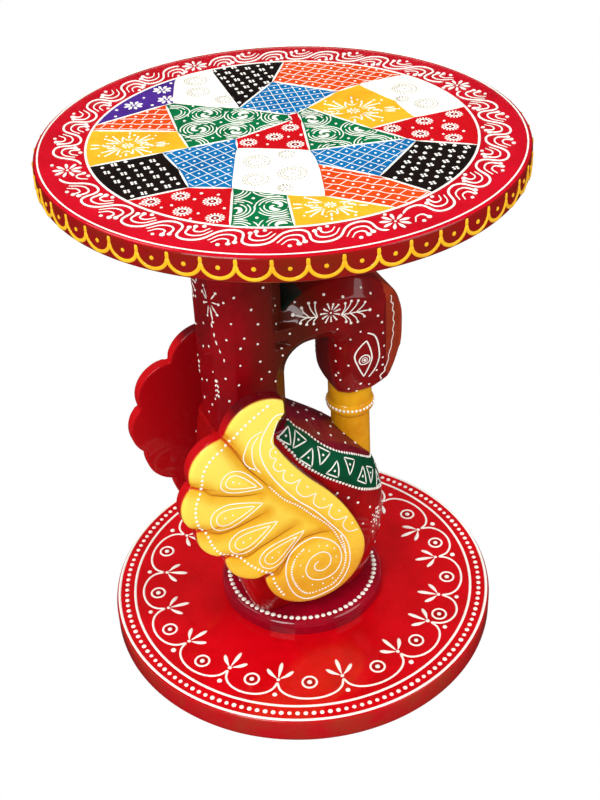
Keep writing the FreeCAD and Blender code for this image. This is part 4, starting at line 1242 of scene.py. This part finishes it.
postDots = ((15, 235), (2, 255), (1, 228), (10, 208), (-6, 212), (-3, 276), (9, 290), (-12, 301), (14, 266),
            (-14, 244), (4, 305), (-10, 262), (12, 222), (-14, 222), (3, 200))


def paintHead(white):
    # Ornament of one side of the neck and head; spots are (x, z).
    for line in faceLines:
        white.curve(line, 1.15, step=0.9)
    eyeRing(white, (42, 230), 4, 1, 1)
    white.ring((42, 230), 2, 14, 0.6)
    centre = Vector((17.5, 275))
    for petal in range(11):
        way = 360 * petal / 11 + 8
        reach = 7.2 if petal % 2 else 6.4
        white.line([centre + polar(reach * share, way) for share in (0.3, 0.55, 0.8, 1)], 1.25, swell=True)
        white.dot(centre + polar(reach, way), 0.85)
    white.dot(centre, 0.8)
    for root, tip, leaves in headSprays:
        root, tip = Vector(root), Vector(tip)
        white.line(straight(root, tip, 8), 0.95)
        white.dot(tip, 1.25)
        for leaf in leaves:
            leaf = Vector(leaf)
            share = (leaf - root).dot(tip - root) / (tip - root).length_squared - 0.28
            joint = root.lerp(tip, min(0.85, max(0.04, share)))
            knee = joint.lerp(leaf, 0.55) + (tip - root).normalized() * 1.2
            white.curve([joint, knee, leaf], 0.85, step=0.9)
            white.dot(leaf, 1.05)
    for spot in headDots:
        white.dot(spot, hand.uniform(0.75, 1.05))
    # The wavy line that runs down beside the nose, and the post's dashes.
    white.line([spot + Vector((0.95 * math.sin(index * 0.76), 0))
                for index, spot in enumerate(evenly(noseCourse, 70))], 1.1)
    for first, last in postDashes:
        white.line(straight(Vector(first), Vector(last), 3), 1.1)


def paintPostBack(white):
    # Spots on the post's back and its rear corners are given in the round.
    for y, z in postDots:
        white.dot((-62.5, y, z), hand.uniform(0.8, 1.1))
    for y, way in ((-17.5, -1), (17.5, 1)):
        root = Vector((-62.2, y, 300))
        for dy, dz in ((-8, 8), (-11, 2), (-9, -5), (-4, -12), (2, -15), (7, -9), (9, -1), (7, 7)):
            tip = root + Vector((0, way * dy, dz))
            white.line(straight(root, tip, 4)[1:], 1)
            white.dot(tip, 1.1)
        for drop in (0, 4, 8):
            spot = Vector((-62, y, 236 - drop))
            for lean in (1, -1):
                white.line([spot, spot + Vector((0, 1.2 * lean, -1.6)), spot + Vector((0, 1.8 * lean, -3.2))],
                           1.6, swell=True)
        white.dot((-62, y, 238.5), 1.2)


def roundJaw(mesh):
    # The jaw is rounded where it faces the post, fading out into the arch. The
    # brown attribute darkens the post's front and the arch's foot.
    mesh.attributes.new("brown", "FLOAT", "POINT")
    brown = mesh.attributes["brown"].data
    for vertex in mesh.vertices:
        place = vertex.co / mm
        brown[vertex.index].value = clamp((place.x + 46) / 26) * (1 - 0.75 * clamp((place.x + 2) / 26))
        below = place.z < jaw["level"] and jaw["rear"] < place.x < jaw["axis"]
        if not below or abs(place.y) <= jaw["half"]:
            continue
        away = Vector((place.x - jaw["axis"], abs(place.y) - jaw["half"]))
        over = away.length - (jaw["radius"] - 1)
        if over > 0:
            share = min(1, (jaw["level"] - place.z) / jaw["fade"])
            away *= 1 - share * over / away.length
            vertex.co.x = (jaw["axis"] + away.x) * mm
            vertex.co.y = math.copysign(jaw["half"] + away.y, place.y) * mm


def makeNeck():
    neck = softened("carved_neck_and_head", ["neck_post", "neck_and_head"], neckSizes,
                    [paints["postRed"], paints["noseBrown"], paints["notchGreenShade"]], roundJaw)
    for face in neck.data.polygons:
        # The nose is brown, and the notch over the arch is dark green, partly paint and partly painted shade
        # under the top.
        place = face.center / mm
        if place.x > neckSizes["noseFrom"] and face.normal.x > 0.34:
            face.material_index = 1
        notch = neckSizes["notchFrom"] < place.x < neckSizes["notchTo"] and place.z > neckSizes["notchLevel"]
        if notch and abs(face.normal.y) < 0.45 and face.normal.x < 0.2:
            face.material_index = 2
    tree = treeOf(neck)
    for side, name in ((-1, "right"), (1, "left")):
        white = Paste(aside(tree, side))
        paintHead(white)
        white.finish("head_outline_" + name, "white", "head_paint")
    white = Paste(nearest(tree))
    paintPostBack(white)
    white.finish("post_back_dots", "white", "post_paint")


turningSizes = {"plinthRing": 56.2, "plinthDots": 74, "collarLevel": 180, "collarDots": 36}


def makeTurnings():
    # Plinth and beak keep their turned solids and gain a row of dots.
    white = Paste(flat(plinthLevel))
    white.dots(ringSpots((0, 0), turningSizes["plinthRing"], turningSizes["plinthDots"]), 1.9)
    white.finish("plinth_dot_ring", "white", "plinth_paint")
    first, last = low("beak"), high("beak")
    centre = ((first.x + last.x) / 2, (first.y + last.y) / 2)
    cream = Paste(nearest(treeOf(nodes["beak"])))
    ring = ringSpots(centre, (last.x - first.x) / 2 + 1, turningSizes["collarDots"])
    cream.dots([(spot.x, spot.y, turningSizes["collarLevel"]) for spot in ring], 1.15)
    cream.finish("collar_dot_ring", "cream", "beak_paint")


def finishOf(name):
    if "dowel" in name or "plug" in name:
        return wood
    if "screws" in name:
        return steel
    return {"beak": paints["beakYellow"], "plinth": paints["plinthRed"]}.get(name)


for stage in (makeTop, makeBase, makeBody, makeNeck, makeWings, makeTurnings):
    stage()
    print(stage.__name__, "done")
for name, node in nodes.items():
    if finishOf(name):
        node.data.materials.clear()
        node.data.materials.append(finishOf(name))


# Stage, lights and camera, in metres

studio = {"floor": 6, "floorLevel": -0.0004, "floorGrey": 0.7, "floorRoughness": 0.8, "floorShine": 0.015,
          "world": 0.75, "worldShine": 0.025}
lights = {"key light": ((-1.3, -0.95, 1.6), (0, 0, 0.2), 1, 24),
          "fill light": ((1.1, -1.1, 1.5), (0, 0, 0.2), 1.2, 12),
          "back light": ((-0.75, 0.95, 2), (0, 0, 0.25), 0.9, 8)}
view = {"place": (-0.2731, -0.6759, 0.7196), "right": (0.925, -0.3798, 0), "up": (0.2228, 0.5427, 0.8099),
        "forward": (0.3076, 0.7491, -0.5867), "roll": -0.04254, "lens": 57.2, "sensor": 36}


def seenBy(tree, plain, kind, shine, sink):
    # White to the camera, almost black to shiny paint, and plain to the rest.
    pure = addNode(tree, kind, {"Color": (1, 1, 1, 1), "Strength": 1})
    dim = addNode(tree, kind, {"Color": (1, 1, 1, 1), "Strength": shine})
    path = addNode(tree, "LightPath").outputs
    reflect = addNode(tree, "MixShader", None, {"Fac": path["Is Glossy Ray"], 1: plain, 2: dim.outputs[0]})
    choose = addNode(tree, "MixShader", None, {"Fac": path["Is Camera Ray"], 1: reflect.outputs[0],
                                               2: pure.outputs[0]})
    tree.links.new(choose.outputs[0], tree.nodes[sink].inputs["Surface"])


def makeStage():
    mesh = bpy.data.meshes.new("floor")
    reach = studio["floor"]
    corners = ((-reach, -reach), (reach, -reach), (reach, reach), (-reach, reach))
    mesh.from_pydata([(x, y, studio["floorLevel"]) for x, y in corners], [], [(0, 1, 2, 3)])
    floor = bpy.data.objects.new("floor", mesh)
    scene.collection.objects.link(floor)
    material, tree, shader = newMaterial("white sweep")
    shader["Base Color"].default_value = (studio["floorGrey"],) * 3 + (1,)
    shader["Roughness"].default_value = studio["floorRoughness"]
    plain = tree.nodes["Principled BSDF"].outputs["BSDF"]
    seenBy(tree, plain, "Emission", studio["floorShine"], "Material Output")
    mesh.materials.append(material)
    world = bpy.data.worlds.new("studio")
    scene.world = world
    world.use_nodes = True
    tree = world.node_tree
    soft = tree.nodes["Background"]
    soft.inputs["Color"].default_value = (1, 1, 1, 1)
    soft.inputs["Strength"].default_value = studio["world"]
    seenBy(tree, soft.outputs[0], "Background", studio["worldShine"], "World Output")


def addLight(name, place, aim, size, power):
    lamp = bpy.data.lights.new(name, "AREA")
    lamp.shape = "DISK"
    lamp.size = size
    lamp.energy = power
    light = bpy.data.objects.new(name, lamp)
    scene.collection.objects.link(light)
    light.location = place
    light.rotation_euler = (Vector(place) - Vector(aim)).to_track_quat("Z", "Y").to_euler()


def addCamera():
    right, up, forward = [Vector(view[way]) for way in ("right", "up", "forward")]
    across = math.cos(view["roll"]) * right + math.sin(view["roll"]) * up
    upward = -math.sin(view["roll"]) * right + math.cos(view["roll"]) * up
    lens = bpy.data.cameras.new("camera")
    lens.lens = view["lens"]
    lens.sensor_width = view["sensor"]
    camera = bpy.data.objects.new("camera", lens)
    scene.collection.objects.link(camera)
    turn = Matrix((across, upward, -forward)).transposed().to_4x4()
    camera.matrix_world = Matrix.Translation(Vector(view["place"])) @ turn
    scene.camera = camera


makeStage()
for name, values in lights.items():
    addLight(name, *values)
addCamera()
scene.view_settings.view_transform = "Standard"
print("stage, lights and camera set")
